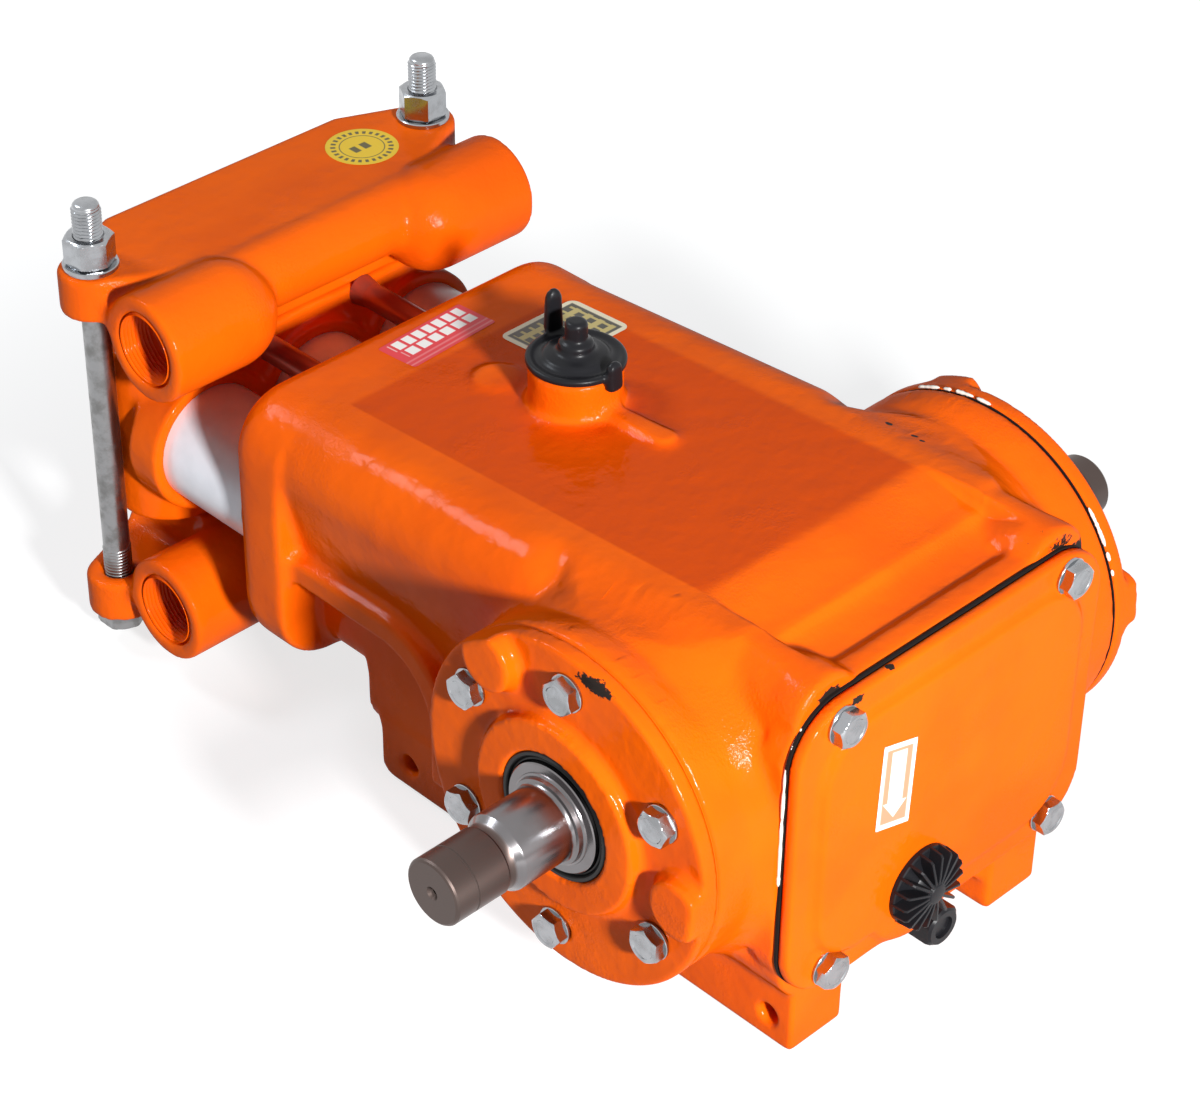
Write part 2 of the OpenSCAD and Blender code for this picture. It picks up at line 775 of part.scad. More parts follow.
module spacer(x, z) {
    color(rod_copper) on_axis() translate([x, 0, z]) {
        bar_y(front_y, head_y + sleeve_seat - flare_len, spacer_r);
        translate([0, head_y + sleeve_seat, 0]) rotate([90, 0, 0])
            cylinder(h = flare_len, r1 = spacer_r + flare_out, r2 = spacer_r);
    }
}

module spacer_upper_left() spacer(-pitch / 2, spacer_z);

module spacer_upper_right() spacer(pitch / 2, spacer_z);

module spacer_lower_left() spacer(-pitch / 2, -spacer_z);

module spacer_lower_right() spacer(pitch / 2, -spacer_z);

// Long bolt that clamps both manifolds to the head, with its head below
module tie_rod() {
    color(bare_steel) on_axis() translate([tie_x, chamber_y, 0]) {
        translate([0, 0, -plate_z - head_h]) hexagon(hex_flats, head_h);
        translate([0, 0, -plate_z]) cylinder(h = plate_z + tie_top, r = tie_r);
    }
}

module tie_rod_left() mirror([1, 0, 0]) tie_rod();

module tie_rod_right() tie_rod();

module tie_nut() {
    color(zinc) on_axis() translate([tie_x, chamber_y, plate_z + washer_t]) difference() {
        hexagon(hex_flats, nut_h);
        translate([0, 0, -past]) cylinder(h = nut_h + 2 * past, r = tie_r + shaft_fit);
    }
}

module tie_nut_left() mirror([1, 0, 0]) tie_nut();

module tie_nut_right() tie_nut();

module tie_washer() {
    color(zinc) on_axis() translate([tie_x, chamber_y, plate_z]) difference() {
        cylinder(h = washer_t, r = washer_r);
        translate([0, 0, -past]) cylinder(h = washer_t + 2 * past, r = tie_r + tie_fit);
    }
}

module tie_washer_left() mirror([1, 0, 0]) tie_washer();

module tie_washer_right() tie_washer();

crankcase();
rear_cover();
rear_cover_gasket();
bearing_cover_left();
bearing_cover_right();
cover_shim_left();
cover_shim_right();
shaft_seal_left();
shaft_seal_right();
crankshaft();
oil_filler_cap();
oil_level_plug();
drain_plug();
cylinder_head();
discharge_manifold();
suction_manifold();
sleeve_left();
sleeve_middle();
sleeve_right();
spacer_upper_left();
spacer_upper_right();
spacer_lower_left();
spacer_lower_right();
tie_rod_left();
tie_rod_right();
tie_nut_left();
tie_nut_right();
tie_washer_left();
tie_washer_right();
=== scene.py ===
"""Looks of the three-cylinder piston pump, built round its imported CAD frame.

Sizes in the dataclasses are millimetres and degrees. Finished meshes are metres in the row frame.
"""

import json
import logging
import math
from dataclasses import dataclass
from enum import Enum

import bpy
import numpy as np
import openvdb
from mathutils import Matrix, Vector
from mathutils.bvhtree import BVHTree

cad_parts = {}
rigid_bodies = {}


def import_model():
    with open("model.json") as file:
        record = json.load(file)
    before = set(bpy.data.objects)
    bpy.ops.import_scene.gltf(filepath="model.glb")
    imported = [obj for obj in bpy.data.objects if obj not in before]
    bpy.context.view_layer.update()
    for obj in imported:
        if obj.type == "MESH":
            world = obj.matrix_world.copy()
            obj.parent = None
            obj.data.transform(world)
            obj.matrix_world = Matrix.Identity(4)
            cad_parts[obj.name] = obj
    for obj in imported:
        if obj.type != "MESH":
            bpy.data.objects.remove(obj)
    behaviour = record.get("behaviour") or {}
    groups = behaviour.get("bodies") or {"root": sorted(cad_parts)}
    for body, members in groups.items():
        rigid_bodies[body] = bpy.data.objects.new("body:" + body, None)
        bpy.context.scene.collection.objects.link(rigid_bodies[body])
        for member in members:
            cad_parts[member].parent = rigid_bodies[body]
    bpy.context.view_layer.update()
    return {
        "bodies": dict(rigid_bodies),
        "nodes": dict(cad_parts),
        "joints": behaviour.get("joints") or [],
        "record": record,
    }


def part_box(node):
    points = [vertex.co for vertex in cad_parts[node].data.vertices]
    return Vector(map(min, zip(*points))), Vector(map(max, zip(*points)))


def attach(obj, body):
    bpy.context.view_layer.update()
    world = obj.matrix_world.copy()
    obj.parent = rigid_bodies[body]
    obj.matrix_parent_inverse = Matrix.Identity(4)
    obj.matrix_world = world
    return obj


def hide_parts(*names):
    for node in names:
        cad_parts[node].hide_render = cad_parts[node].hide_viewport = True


LOG = logging.getLogger("piston_pump")
MM = 0.001
SIDES = ((-1, "left"), (1, "right"))
# Fall of the top panel towards the front, and its height at y = 0 in the row frame
PANEL_SLOPE = 0.0596
PANEL_Z = 215.7
# Radius at which a hexagon's chamfer meets its end face, as a share of the distance across the flats
CHAMFER_SHARE = 0.475


class Body(str, Enum):
    """Moving bodies of the CAD frame."""

    PUMP = "pump"
    SHAFT = "crankshaft"


class Slot(str, Enum):
    """Material slots of the record."""

    ENAMEL = "orange_enamel"
    STEEL = "bare_steel"
    ZINC = "zinc_steel"
    PLASTIC = "black_plastic"
    RUBBER = "seal_rubber"
    SLEEVE = "white_sleeve"
    FILM = "label_film"


class Print(Enum):
    """Generic prints of the stickers."""

    BARS = "bars"
    ARROW = "arrow"
    RING = "ring"
    PLATE = "plate"


class Shape:
    """Vertices in millimetres and faces of a mesh under construction."""

    def __init__(self, verts: np.ndarray, faces: list[tuple[int, ...]]) -> None:
        """Keeps the vertices and faces.

        Args:
            verts: Points, one row each.
            faces: Corner numbers of each face.
        """
        self.verts = np.asarray(verts, float).reshape(-1, 3)
        self.faces = faces

    @classmethod
    def loft(cls, rings: list[np.ndarray], start: bool = True, end: bool = True) -> "Shape":
        """Joins rings of equal length into a skin.

        Args:
            rings: Rings of points, each running anticlockwise seen from the next ring's side.
            start: Whether the first ring is closed with a face.
            end: Whether the last ring is closed with a face.

        Returns:
            The skin.
        """
        count = len(rings[0])
        faces = []
        for k in range(len(rings) - 1):
            for i in range(count):
                j = (i + 1) % count
                faces.append((k * count + i, k * count + j, (k + 1) * count + j, (k + 1) * count + i))
        if start:
            faces.append(tuple(reversed(range(count))))
        if end:
            last = (len(rings) - 1) * count
            faces.append(tuple(range(last, last + count)))
        return cls(np.vstack(rings), faces)

    @classmethod
    def lathe(
        cls, profile: list[tuple[float, float]], segments: int = 64, start: bool = True, end: bool = True
    ) -> "Shape":
        """Turns a profile round +Z.

        Args:
            profile: Radius and height of each point, from the lowest end on.
            segments: Points round each ring.
            start: Whether the first ring is closed.
            end: Whether the last ring is closed.

        Returns:
            The turned shape.
        """
        return cls.loft([ring(radius, height, segments) for radius, height in profile], start, end)

    @classmethod
    def thread(
        cls, radius: float, depth: float, pitch: float, length: float,
        inward: bool = False, segments: int = 48,
    ) -> "Shape":
        """Makes a screw thread along +Z from the origin.

        Args:
            radius: Crest radius of an outer thread, or root radius of an inner one.
            depth: Thread depth.
            pitch: Distance between two turns.
            length: Length of the thread.
            inward: Whether the thread faces its axis.
            segments: Points round each ring.

        Returns:
            The thread's skin, open at both ends.
        """
        steps = max(2, int(length / pitch * 8))
        turn = np.arange(segments) / segments
        angles = turn * 2 * math.pi
        rings = []
        for k in range(steps + 1):
            height = length * k / steps
            wave = np.abs(2 * ((height / pitch - turn) % 1.0) - 1)
            fade = min(1.0, k / 6, (steps - k) / 6)
            radii = radius - depth * (1 - fade * (1 - wave))
            rings.append(polar(radii, angles, height))
        shape = cls.loft(rings, False, False)
        if inward:
            shape.faces = [tuple(reversed(face)) for face in shape.faces]
        return shape

    def moved(self, matrix: Matrix) -> "Shape":
        """Carries the shape by a matrix.

        Args:
            matrix: The move, in millimetres.

        Returns:
            A moved copy.
        """
        table = np.array(matrix)
        return Shape(self.verts @ table[:3, :3].T + table[:3, 3], list(self.faces))

    def joined(self, *others: "Shape") -> "Shape":
        """Puts several shapes into one mesh.

        Args:
            others: The shapes to add.

        Returns:
            The joined shape.
        """
        verts = [self.verts]
        faces = list(self.faces)
        offset = len(self.verts)
        for other in others:
            verts.append(other.verts)
            faces += [tuple(corner + offset for corner in face) for face in other.faces]
            offset += len(other.verts)
        return Shape(np.vstack(verts), faces)


def ramp(value: np.ndarray, start: float, end: float) -> np.ndarray:
    """Runs smoothly from 0 at the start to 1 at the end.

    Args:
        value: The values.
        start: Where the result is 0.
        end: Where the result is 1.

    Returns:
        The eased values.
    """
    share = np.clip((value - start) / (end - start), 0.0, 1.0)
    return share * share * (3 - 2 * share)


def polar(radii: float | np.ndarray, angles: np.ndarray, height: float) -> np.ndarray:
    """Places points round +Z.

    Args:
        radii: Distance of the points from the axis.
        angles: Angle of each point, in radians.
        height: Height above the origin.

    Returns:
        The points, one row each.
    """
    return np.column_stack([radii * np.cos(angles), radii * np.sin(angles), np.full(len(angles), height)])


def ring(radius: float, height: float, segments: int = 64) -> np.ndarray:
    """Makes a circle of points.

    Args:
        radius: Radius of the circle.
        height: Height above the origin.
        segments: Number of points.

    Returns:
        The points, one row each.
    """
    return polar(radius, np.arange(segments) * 2 * math.pi / segments, height)


def hex_ring(flats: float, limit: float, height: float, segments: int = 72) -> np.ndarray:
    """Makes a hexagon of points whose corners are cut at a radius.

    Args:
        flats: Distance across the flats.
        limit: Largest radius kept.
        height: Height above the origin.
        segments: Number of points.

    Returns:
        The points, one row each.
    """
    angles = np.arange(segments) * 2 * math.pi / segments
    side = (angles + math.pi / 6) % (math.pi / 3) - math.pi / 6
    return polar(np.minimum(flats / 2 / np.cos(side), limit), angles, height)


def hex_end(flats: float, face: float, steps: int, way: int = 1) -> list[np.ndarray]:
    """Makes the rings of a hexagon's chamfered end, from its full corners to its face.

    Args:
        flats: Distance across the flats.
        face: Height of the end face.
        steps: Number of steps between the rings.
        way: 1 for an upper end and -1 for a lower one.

    Returns:
        The rings, the widest first.
    """
    corner = flats / math.sqrt(3)
    inner = flats * CHAMFER_SHARE
    rise = way * (corner - inner) * math.tan(math.radians(30))
    shares = [k / steps for k in range(steps + 1)]
    return [hex_ring(flats, corner - share * (corner - inner), face - rise * (1 - share)) for share in shares]


def facing(direction: tuple[float, float, float], at: Vector, spin: float = 0.0) -> Matrix:
    """Makes the move that carries a shape drawn along +Z to its place.

    Args:
        direction: Where the shape's +Z points afterwards.
        at: Where its origin goes.
        spin: Turn about its own axis first, in degrees.

    Returns:
        The matrix.
    """
    turn = Vector(direction).to_track_quat("Z", "Y").to_matrix().to_4x4()
    return Matrix.Translation(at) @ turn @ Matrix.Rotation(math.radians(spin), 4, "Z")


def add_object(name: str, data: bpy.types.ID) -> bpy.types.Object:
    """Puts an object into the scene.

    Args:
        name: Its name.
        data: Its mesh, light or camera.

    Returns:
        The new object.
    """
    obj = bpy.data.objects.new(name, data)
    bpy.context.scene.collection.objects.link(obj)
    return obj


def add_piece(
    name: str,
    shape: Shape,
    body: Body,
    finish: bpy.types.Material,
    replaces: tuple[str, ...] = (),
    sharp: float = 38.0,
) -> bpy.types.Object:
    """Turns a shape into a piece of the visual model.

    Args:
        name: Name of the piece.
        shape: Its mesh in millimetres.
        body: CAD body that it moves with.
        finish: Material.
        replaces: CAD nodes that it stands for.
        sharp: Angle in degrees from which an edge stays sharp.

    Returns:
        The new object.
    """
    mesh = bpy.data.meshes.new(name)
    mesh.from_pydata((shape.verts * MM).tolist(), [], shape.faces)
    mesh.shade_smooth()
    mesh.set_sharp_from_angle(angle=math.radians(sharp))
    mesh.materials.append(finish)
    obj = add_object(name, mesh)
    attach(obj, body.value)
    if replaces:
        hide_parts(*replaces)
    LOG.info("piece %s: %d faces", name, len(shape.faces))
    return obj


def dress_node(node: bpy.types.Object, finish: bpy.types.Material, bevel: float = 0.0) -> None:
    """Gives a kept CAD node its material and soft shading.

    Args:
        node: The CAD node.
        finish: Material.
        bevel: Width of a bevel along its sharp edges, in millimetres.
    """
    node.data.materials.clear()
    node.data.materials.append(finish)
    node.data.shade_smooth()
    node.data.set_sharp_from_angle(angle=math.radians(30))
    if bevel:
        modifier = node.modifiers.new("edge", "BEVEL")
        modifier.width = bevel * MM
        modifier.segments = 2
        modifier.limit_method = "ANGLE"
        modifier.angle_limit = math.radians(40)
    LOG.info("node %s dressed", node.name)


@dataclass(frozen=True)
class Layout:
    """Reference places of the CAD frame.

    Attributes:
        axis_y: Place of the crankshaft axis along Y.
        axis_z: Height of the crankshaft axis.
    """

    axis_y: float
    axis_z: float

    @classmethod
    def read(cls) -> "Layout":
        """Reads the crankshaft axis off the CAD frame.

        Returns:
            The layout.
        """
        low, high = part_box("crankshaft")
        middle = (low + high) / 2 / MM
        return cls(middle.y, middle.z)

    def at(self, x: float, y: float, z: float) -> Vector:
        """Turns a place counted from the crankshaft axis into a row-frame place.

        Args:
            x: Distance along the crankshaft.
            y: Distance in front of the axis.
            z: Height above the axis.

        Returns:
            The place in the row frame.
        """
        return Vector((x, y + self.axis_y, z + self.axis_z))

    def off_axis(self, shape: Shape) -> tuple[np.ndarray, np.ndarray, np.ndarray]:
        """Counts the points of a shape from the crankshaft axis.

        Args:
            shape: The shape, in the row frame.

        Returns:
            X, Y and Z of the points.
        """
        x, y, z = shape.verts.T
        return x, y - self.axis_y, z - self.axis_z


class Graph:
    """Small builder for the node tree of a material."""

    def __init__(self, name: str) -> None:
        """Starts a material with a principled shader.

        Args:
            name: Name of the material.
        """
        self.material = bpy.data.materials.new(name)
        self.material.use_nodes = True
        self.tree = self.material.node_tree
        self.shader = self.tree.nodes["Principled BSDF"]
        coordinates = self.tree.nodes.new("ShaderNodeTexCoord")
        self.place = coordinates.outputs["Object"]
        self.sheet = coordinates.outputs["UV"]

    def feed(self, socket: bpy.types.NodeSocket, value: object) -> None:
        """Links a socket to another one, or sets its number.

        Args:
            socket: The input.
            value: An output socket, or a number or colour.
        """
        if isinstance(value, bpy.types.NodeSocket):
            self.tree.links.new(value, socket)
        else:
            socket.default_value = value

    def surface(self, **values: object) -> None:
        """Sets inputs of the principled shader.

        Args:
            values: Input names with underscores for spaces, and their values.
        """
        for name, value in values.items():
            self.feed(self.shader.inputs[name.replace("_", " ")], value)

    def math(
        self, operation: str, first: object, second: object = 0.0, third: object = 0.5
    ) -> bpy.types.NodeSocket:
        """Adds a sum.

        Args:
            operation: Blender's name of the operation.
            first: First value.
            second: Second value.
            third: Third value, for the operations that take one.

        Returns:
            The result.
        """
        node = self.tree.nodes.new("ShaderNodeMath")
        node.operation = operation
        for socket, value in zip(node.inputs, (first, second, third)):
            self.feed(socket, value)
        return node.outputs[0]

    def product(self, *values: object) -> bpy.types.NodeSocket:
        """Multiplies values.

        Args:
            values: Two or more values.

        Returns:
            The product.
        """
        result = values[0]
        for value in values[1:]:
            result = self.math("MULTIPLY", result, value)
        return result

    def vector(self, operation: str, first: object, second: object) -> bpy.types.NodeSocket:
        """Adds a sum of vectors.

        Args:
            operation: Blender's name of the operation.
            first: First vector.
            second: Second vector.

        Returns:
            The resulting vector, or number for a length.
        """
        node = self.tree.nodes.new("ShaderNodeVectorMath")
        node.operation = operation
        self.feed(node.inputs[0], first)
        self.feed(node.inputs[1], second)
        return node.outputs["Value" if operation == "LENGTH" else "Vector"]

    def parts(self, vector: bpy.types.NodeSocket) -> tuple[bpy.types.NodeSocket, ...]:
        """Splits a vector.

        Args:
            vector: The vector.

        Returns:
            Its three parts.
        """
        node = self.tree.nodes.new("ShaderNodeSeparateXYZ")
        self.feed(node.inputs[0], vector)
        return node.outputs[0], node.outputs[1], node.outputs[2]

    def noise(
        self, scale: float, detail: float = 2.0, roughness: float = 0.5, place: object = None
    ) -> bpy.types.NodeSocket:
        """Adds a noise pattern.

        Args:
            scale: Patterns per metre.
            detail: Number of finer layers.
            roughness: Strength of the finer layers.
            place: Coordinates, or none for the row frame.

        Returns:
            The pattern, mostly between 0.3 and 0.7.
        """
        node = self.tree.nodes.new("ShaderNodeTexNoise")
        self.feed(node.inputs["Vector"], self.place if place is None else place)
        self.feed(node.inputs["Scale"], scale)
        self.feed(node.inputs["Detail"], detail)
        self.feed(node.inputs["Roughness"], roughness)
        return node.outputs["Fac"]

    def ease(self, value: object, low: float, high: float) -> bpy.types.NodeSocket:
        """Runs smoothly from 0 at the low value to 1 at the high value.

        Args:
            value: The value.
            low: Where the result is 0.
            high: Where the result is 1.

        Returns:
            The eased value.
        """
        node = self.tree.nodes.new("ShaderNodeMapRange")
        node.interpolation_type = "SMOOTHSTEP"
        self.feed(node.inputs["Value"], value)
        self.feed(node.inputs["From Min"], low)
        self.feed(node.inputs["From Max"], high)
        return node.outputs["Result"]

    def within(self, value: object, low: float, high: float, soft: float = 0.01) -> bpy.types.NodeSocket:
        """Marks a band of values.

        Args:
            value: The value.
            low: Start of the band.
            high: End of the band.
            soft: Width of its edges.

        Returns:
            1 inside the band and 0 outside.
        """
        rise = self.ease(value, low - soft, low + soft)
        fall = self.ease(value, high + soft, high - soft)
        return self.product(rise, fall)

    def blend(self, factor: object, first: object, second: object) -> bpy.types.NodeSocket:
        """Mixes two colours.

        Args:
            factor: Share of the second colour.
            first: First colour.
            second: Second colour.

        Returns:
            The mixed colour.
        """
        node = self.tree.nodes.new("ShaderNodeMix")
        node.data_type = "RGBA"
        self.feed(node.inputs[0], factor)
        self.feed(node.inputs[6], first)
        self.feed(node.inputs[7], second)
        return node.outputs[2]

    def bump(self, height: object, distance: float, below: object = None) -> bpy.types.NodeSocket:
        """Turns a height into a normal.

        Args:
            height: The height, from 0 to 1.
            distance: Height of 1 in millimetres.
            below: Normal that it is laid over, if any.

        Returns:
            The normal.
        """
        node = self.tree.nodes.new("ShaderNodeBump")
        self.feed(node.inputs["Height"], height)
        self.feed(node.inputs["Distance"], distance * MM)
        self.feed(node.inputs["Strength"], 1.0)
        if below is not None:
            self.feed(node.inputs["Normal"], below)
        return node.outputs["Normal"]


@dataclass(frozen=True)
class Spot:
    """A small mark on the paint.

    Attributes:
        centre: Its place in the row frame.
        reach: Half its size along each axis.
    """

    centre: tuple[float, float, float]
    reach: tuple[float, float, float]


@dataclass(frozen=True)
class Enamel:
    """Glossy orange enamel over a sand casting.

    Attributes:
        colour: Colour of the paint.
        shade: Slightly deeper colour of thick paint.
        deep: Darker colour painted on the flat top panel as shade.
        bare: Colour of the casting where the paint is chipped.
        gloss: Roughness of the paint.
        lumps: Height of the casting's lumps.
        dents: Height of the small dents.
        peel: Height of the orange peel.
        grit: Height of the sandy patches.
        bare_gloss: How much rougher the bare casting is.
        coat: Strength of the clear top coat.
        coat_gloss: Roughness of the clear top coat.
        panel_x: Where the painted shade starts, is full from and to, and ends, along X.
        panel_y: The same along Y.
        panel_z: The same over the plane of the top panel.
    """

    colour: tuple[float, ...] = (0.87, 0.12, 0.002, 1.0)
    shade: tuple[float, ...] = (0.78, 0.098, 0.002, 1.0)
    # Painted shade: darker colour laid on the flat top panel
    deep: tuple[float, ...] = (0.67, 0.071, 0.001, 1.0)
    bare: tuple[float, ...] = (0.022, 0.015, 0.012, 1.0)
    gloss: float = 0.27
    lumps: float = 0.75
    dents: float = 0.26
    peel: float = 0.07
    grit: float = 0.42
    bare_gloss: float = 0.4
    coat: float = 0.15
    coat_gloss: float = 0.13
    panel_x: tuple[float, ...] = (-76.5, -74.5, 71.0, 76.5)
    panel_y: tuple[float, ...] = (-171.0, -161.0, 81.0, 86.0)
    panel_z: tuple[float, ...] = (-12.0, -9.0, 0.9, 2.6)

    def build(self, name: str, chips: tuple[Spot, ...] = (), panel: bool = False) -> bpy.types.Material:
        """Makes the material.

        Args:
            name: Name of the material.
            chips: Places where the paint is off.
            panel: Whether shade is painted onto the top panel.

        Returns:
            The material.
        """
        graph = Graph(name)
        colour = graph.blend(graph.ease(graph.noise(14, 3), 0.35, 0.7), self.colour, self.shade)
        lumps = graph.bump(graph.noise(62, 2.5, 0.45), self.lumps)
        dents = graph.bump(graph.noise(190, 2.0, 0.5), self.dents, lumps)
        peel = graph.bump(graph.noise(520, 1.5, 0.5), self.peel, dents)
        patches = graph.ease(graph.noise(21, 2.5), 0.5, 0.66)
        grain = graph.product(graph.noise(640, 2.0, 0.6), patches)
        normal = graph.bump(grain, self.grit, peel)
        roughness = self.gloss
        # Painted shade: the flat top panel is darkened towards the deep colour
        if panel:
            colour = graph.blend(self.painted_shade_mask(graph), colour, self.deep)
        if chips:
            bare = self.chipped(graph, chips)
            colour = graph.blend(bare, colour, self.bare)
            roughness = graph.math("MULTIPLY_ADD", bare, self.bare_gloss, self.gloss)
        graph.surface(
            Base_Color=colour,
            Roughness=roughness,
            Normal=normal,
            Specular_IOR_Level=0.0,
            Coat_Weight=self.coat,
            Coat_Roughness=self.coat_gloss,
            Coat_Normal=normal,
        )
        return graph.material

    def painted_shade_mask(self, graph: Graph) -> bpy.types.NodeSocket:
        """Marks the flat part of the top panel, where shade is painted.

        Args:
            graph: The material's builder.

        Returns:
            1 on the panel and 0 elsewhere.
        """
        x, y, z = graph.parts(graph.place)
        plane = graph.math("MULTIPLY_ADD", y, -PANEL_SLOPE, PANEL_Z * MM)
        over = graph.math("SUBTRACT", z, plane)
        marks = []
        for value, limits in ((over, self.panel_z), (y, self.panel_y), (x, self.panel_x)):
            start, full, fade, end = (limit * MM for limit in limits)
            marks += [graph.ease(value, start, full), graph.ease(value, end, fade)]
        return graph.product(*marks)

    def chipped(self, graph: Graph, chips: tuple[Spot, ...]) -> bpy.types.NodeSocket:
        """Marks the chips with ragged edges.

        Args:
            graph: The material's builder.
            chips: Places where the paint is off.

        Returns:
            1 on bare metal and 0 on paint.
        """
        rag = graph.product(graph.noise(260, 4, 0.7), 1.9)
        marks = []
        for chip in chips:
            offset = graph.vector("SUBTRACT", graph.place, [value * MM for value in chip.centre])
            scaled = graph.vector("MULTIPLY", offset, [1 / (value * MM) for value in chip.reach])
            marks.append(graph.vector("LENGTH", scaled, (0, 0, 0)))
        nearest = marks[0]
        for mark in marks[1:]:
            nearest = graph.math("MINIMUM", nearest, mark)
        return graph.ease(graph.math("ADD", nearest, rag), 1.95, 1.8)


@dataclass(frozen=True)
class Metal:
    """Bare or plated steel.

    Attributes:
        colour: Colour of the metal.
        roughness: Roughness of the ground faces.
        lines: Height of the fine tool marks.
        stain: Darker colour of the duller patches.
    """

    colour: tuple[float, ...]
    roughness: float
    lines: float
    stain: tuple[float, ...]

    def build(self, name: str) -> bpy.types.Material:
        """Makes the material.

        Args:
            name: Name of the material.

        Returns:
            The material.
        """
        graph = Graph(name)
        worn = graph.ease(graph.noise(90, 4, 0.6), 0.4, 0.68)
        rough = graph.math("MULTIPLY_ADD", worn, 0.16, self.roughness)
        normal = graph.bump(graph.noise(900, 3, 0.6), self.lines)
        graph.surface(
            Base_Color=graph.blend(worn, self.colour, self.stain),
            Metallic=1.0,
            Roughness=rough,
            Normal=normal,
        )
        return graph.material


@dataclass(frozen=True)
class TurnedSteel:
    """Steel turned and ground round the X axis, duller and darker on the drive ends.

    Attributes:
        bright: Colour of the ground journals.
        dull: Colour of the drive ends.
        drive_x: Where the drive ends start.
    """

    bright: tuple[float, ...] = (0.21, 0.2, 0.205, 1.0)
    dull: tuple[float, ...] = (0.105, 0.079, 0.071, 1.0)
    drive_x: float = 199.0

    def build(self, name: str) -> bpy.types.Material:
        """Makes the material.

        Args:
            name: Name of the material.

        Returns:
            The material.
        """
        graph = Graph(name)
        along, _, _ = graph.parts(graph.place)
        away = graph.math("ABSOLUTE", along)
        drive = graph.ease(away, (self.drive_x - 1) * MM, (self.drive_x + 1) * MM)
        squeezed = graph.vector("MULTIPLY", graph.place, (1.0, 0.03, 0.03))
        lines = graph.noise(2600, 3, 0.7, squeezed)
        worn = graph.ease(graph.noise(70, 3, 0.6), 0.42, 0.7)
        colour = graph.blend(drive, self.bright, self.dull)
        colour = graph.blend(graph.product(worn, 0.15), colour, self.dull)
        rough = graph.math("MULTIPLY_ADD", drive, 0.18, 0.22)
        graph.surface(
            Base_Color=colour,
            Metallic=1.0,
            Roughness=rough,
            Normal=graph.bump(lines, 0.006),
            Anisotropic=0.4,
        )
        return graph.material


@dataclass(frozen=True)
class Moulded:
    """Moulded plastic, rubber, steel rod with a painted reflection, or film of one colour.

    Attributes:
        colour: Colour of the stuff.
        roughness: Its roughness.
        grain: Height of its fine grain.
        metallic: Share of metal showing through.
        specular: Strength of its reflections.
    """

    colour: tuple[float, ...]
    roughness: float
    grain: float
    metallic: float = 0.0
    specular: float = 0.5

    def build(self, name: str) -> bpy.types.Material:
        """Makes the material.

        Args:
            name: Name of the material.

        Returns:
            The material.
        """
        graph = Graph(name)
        deeper = tuple(value * 0.93 for value in self.colour[:3]) + (1.0,)
        graph.surface(
            Base_Color=graph.blend(graph.ease(graph.noise(60, 3), 0.35, 0.7), self.colour, deeper),
            Roughness=self.roughness,
            Metallic=self.metallic,
            Specular_IOR_Level=self.specular,
            Normal=graph.bump(graph.noise(380, 3, 0.6), self.grain),
        )
        return graph.material


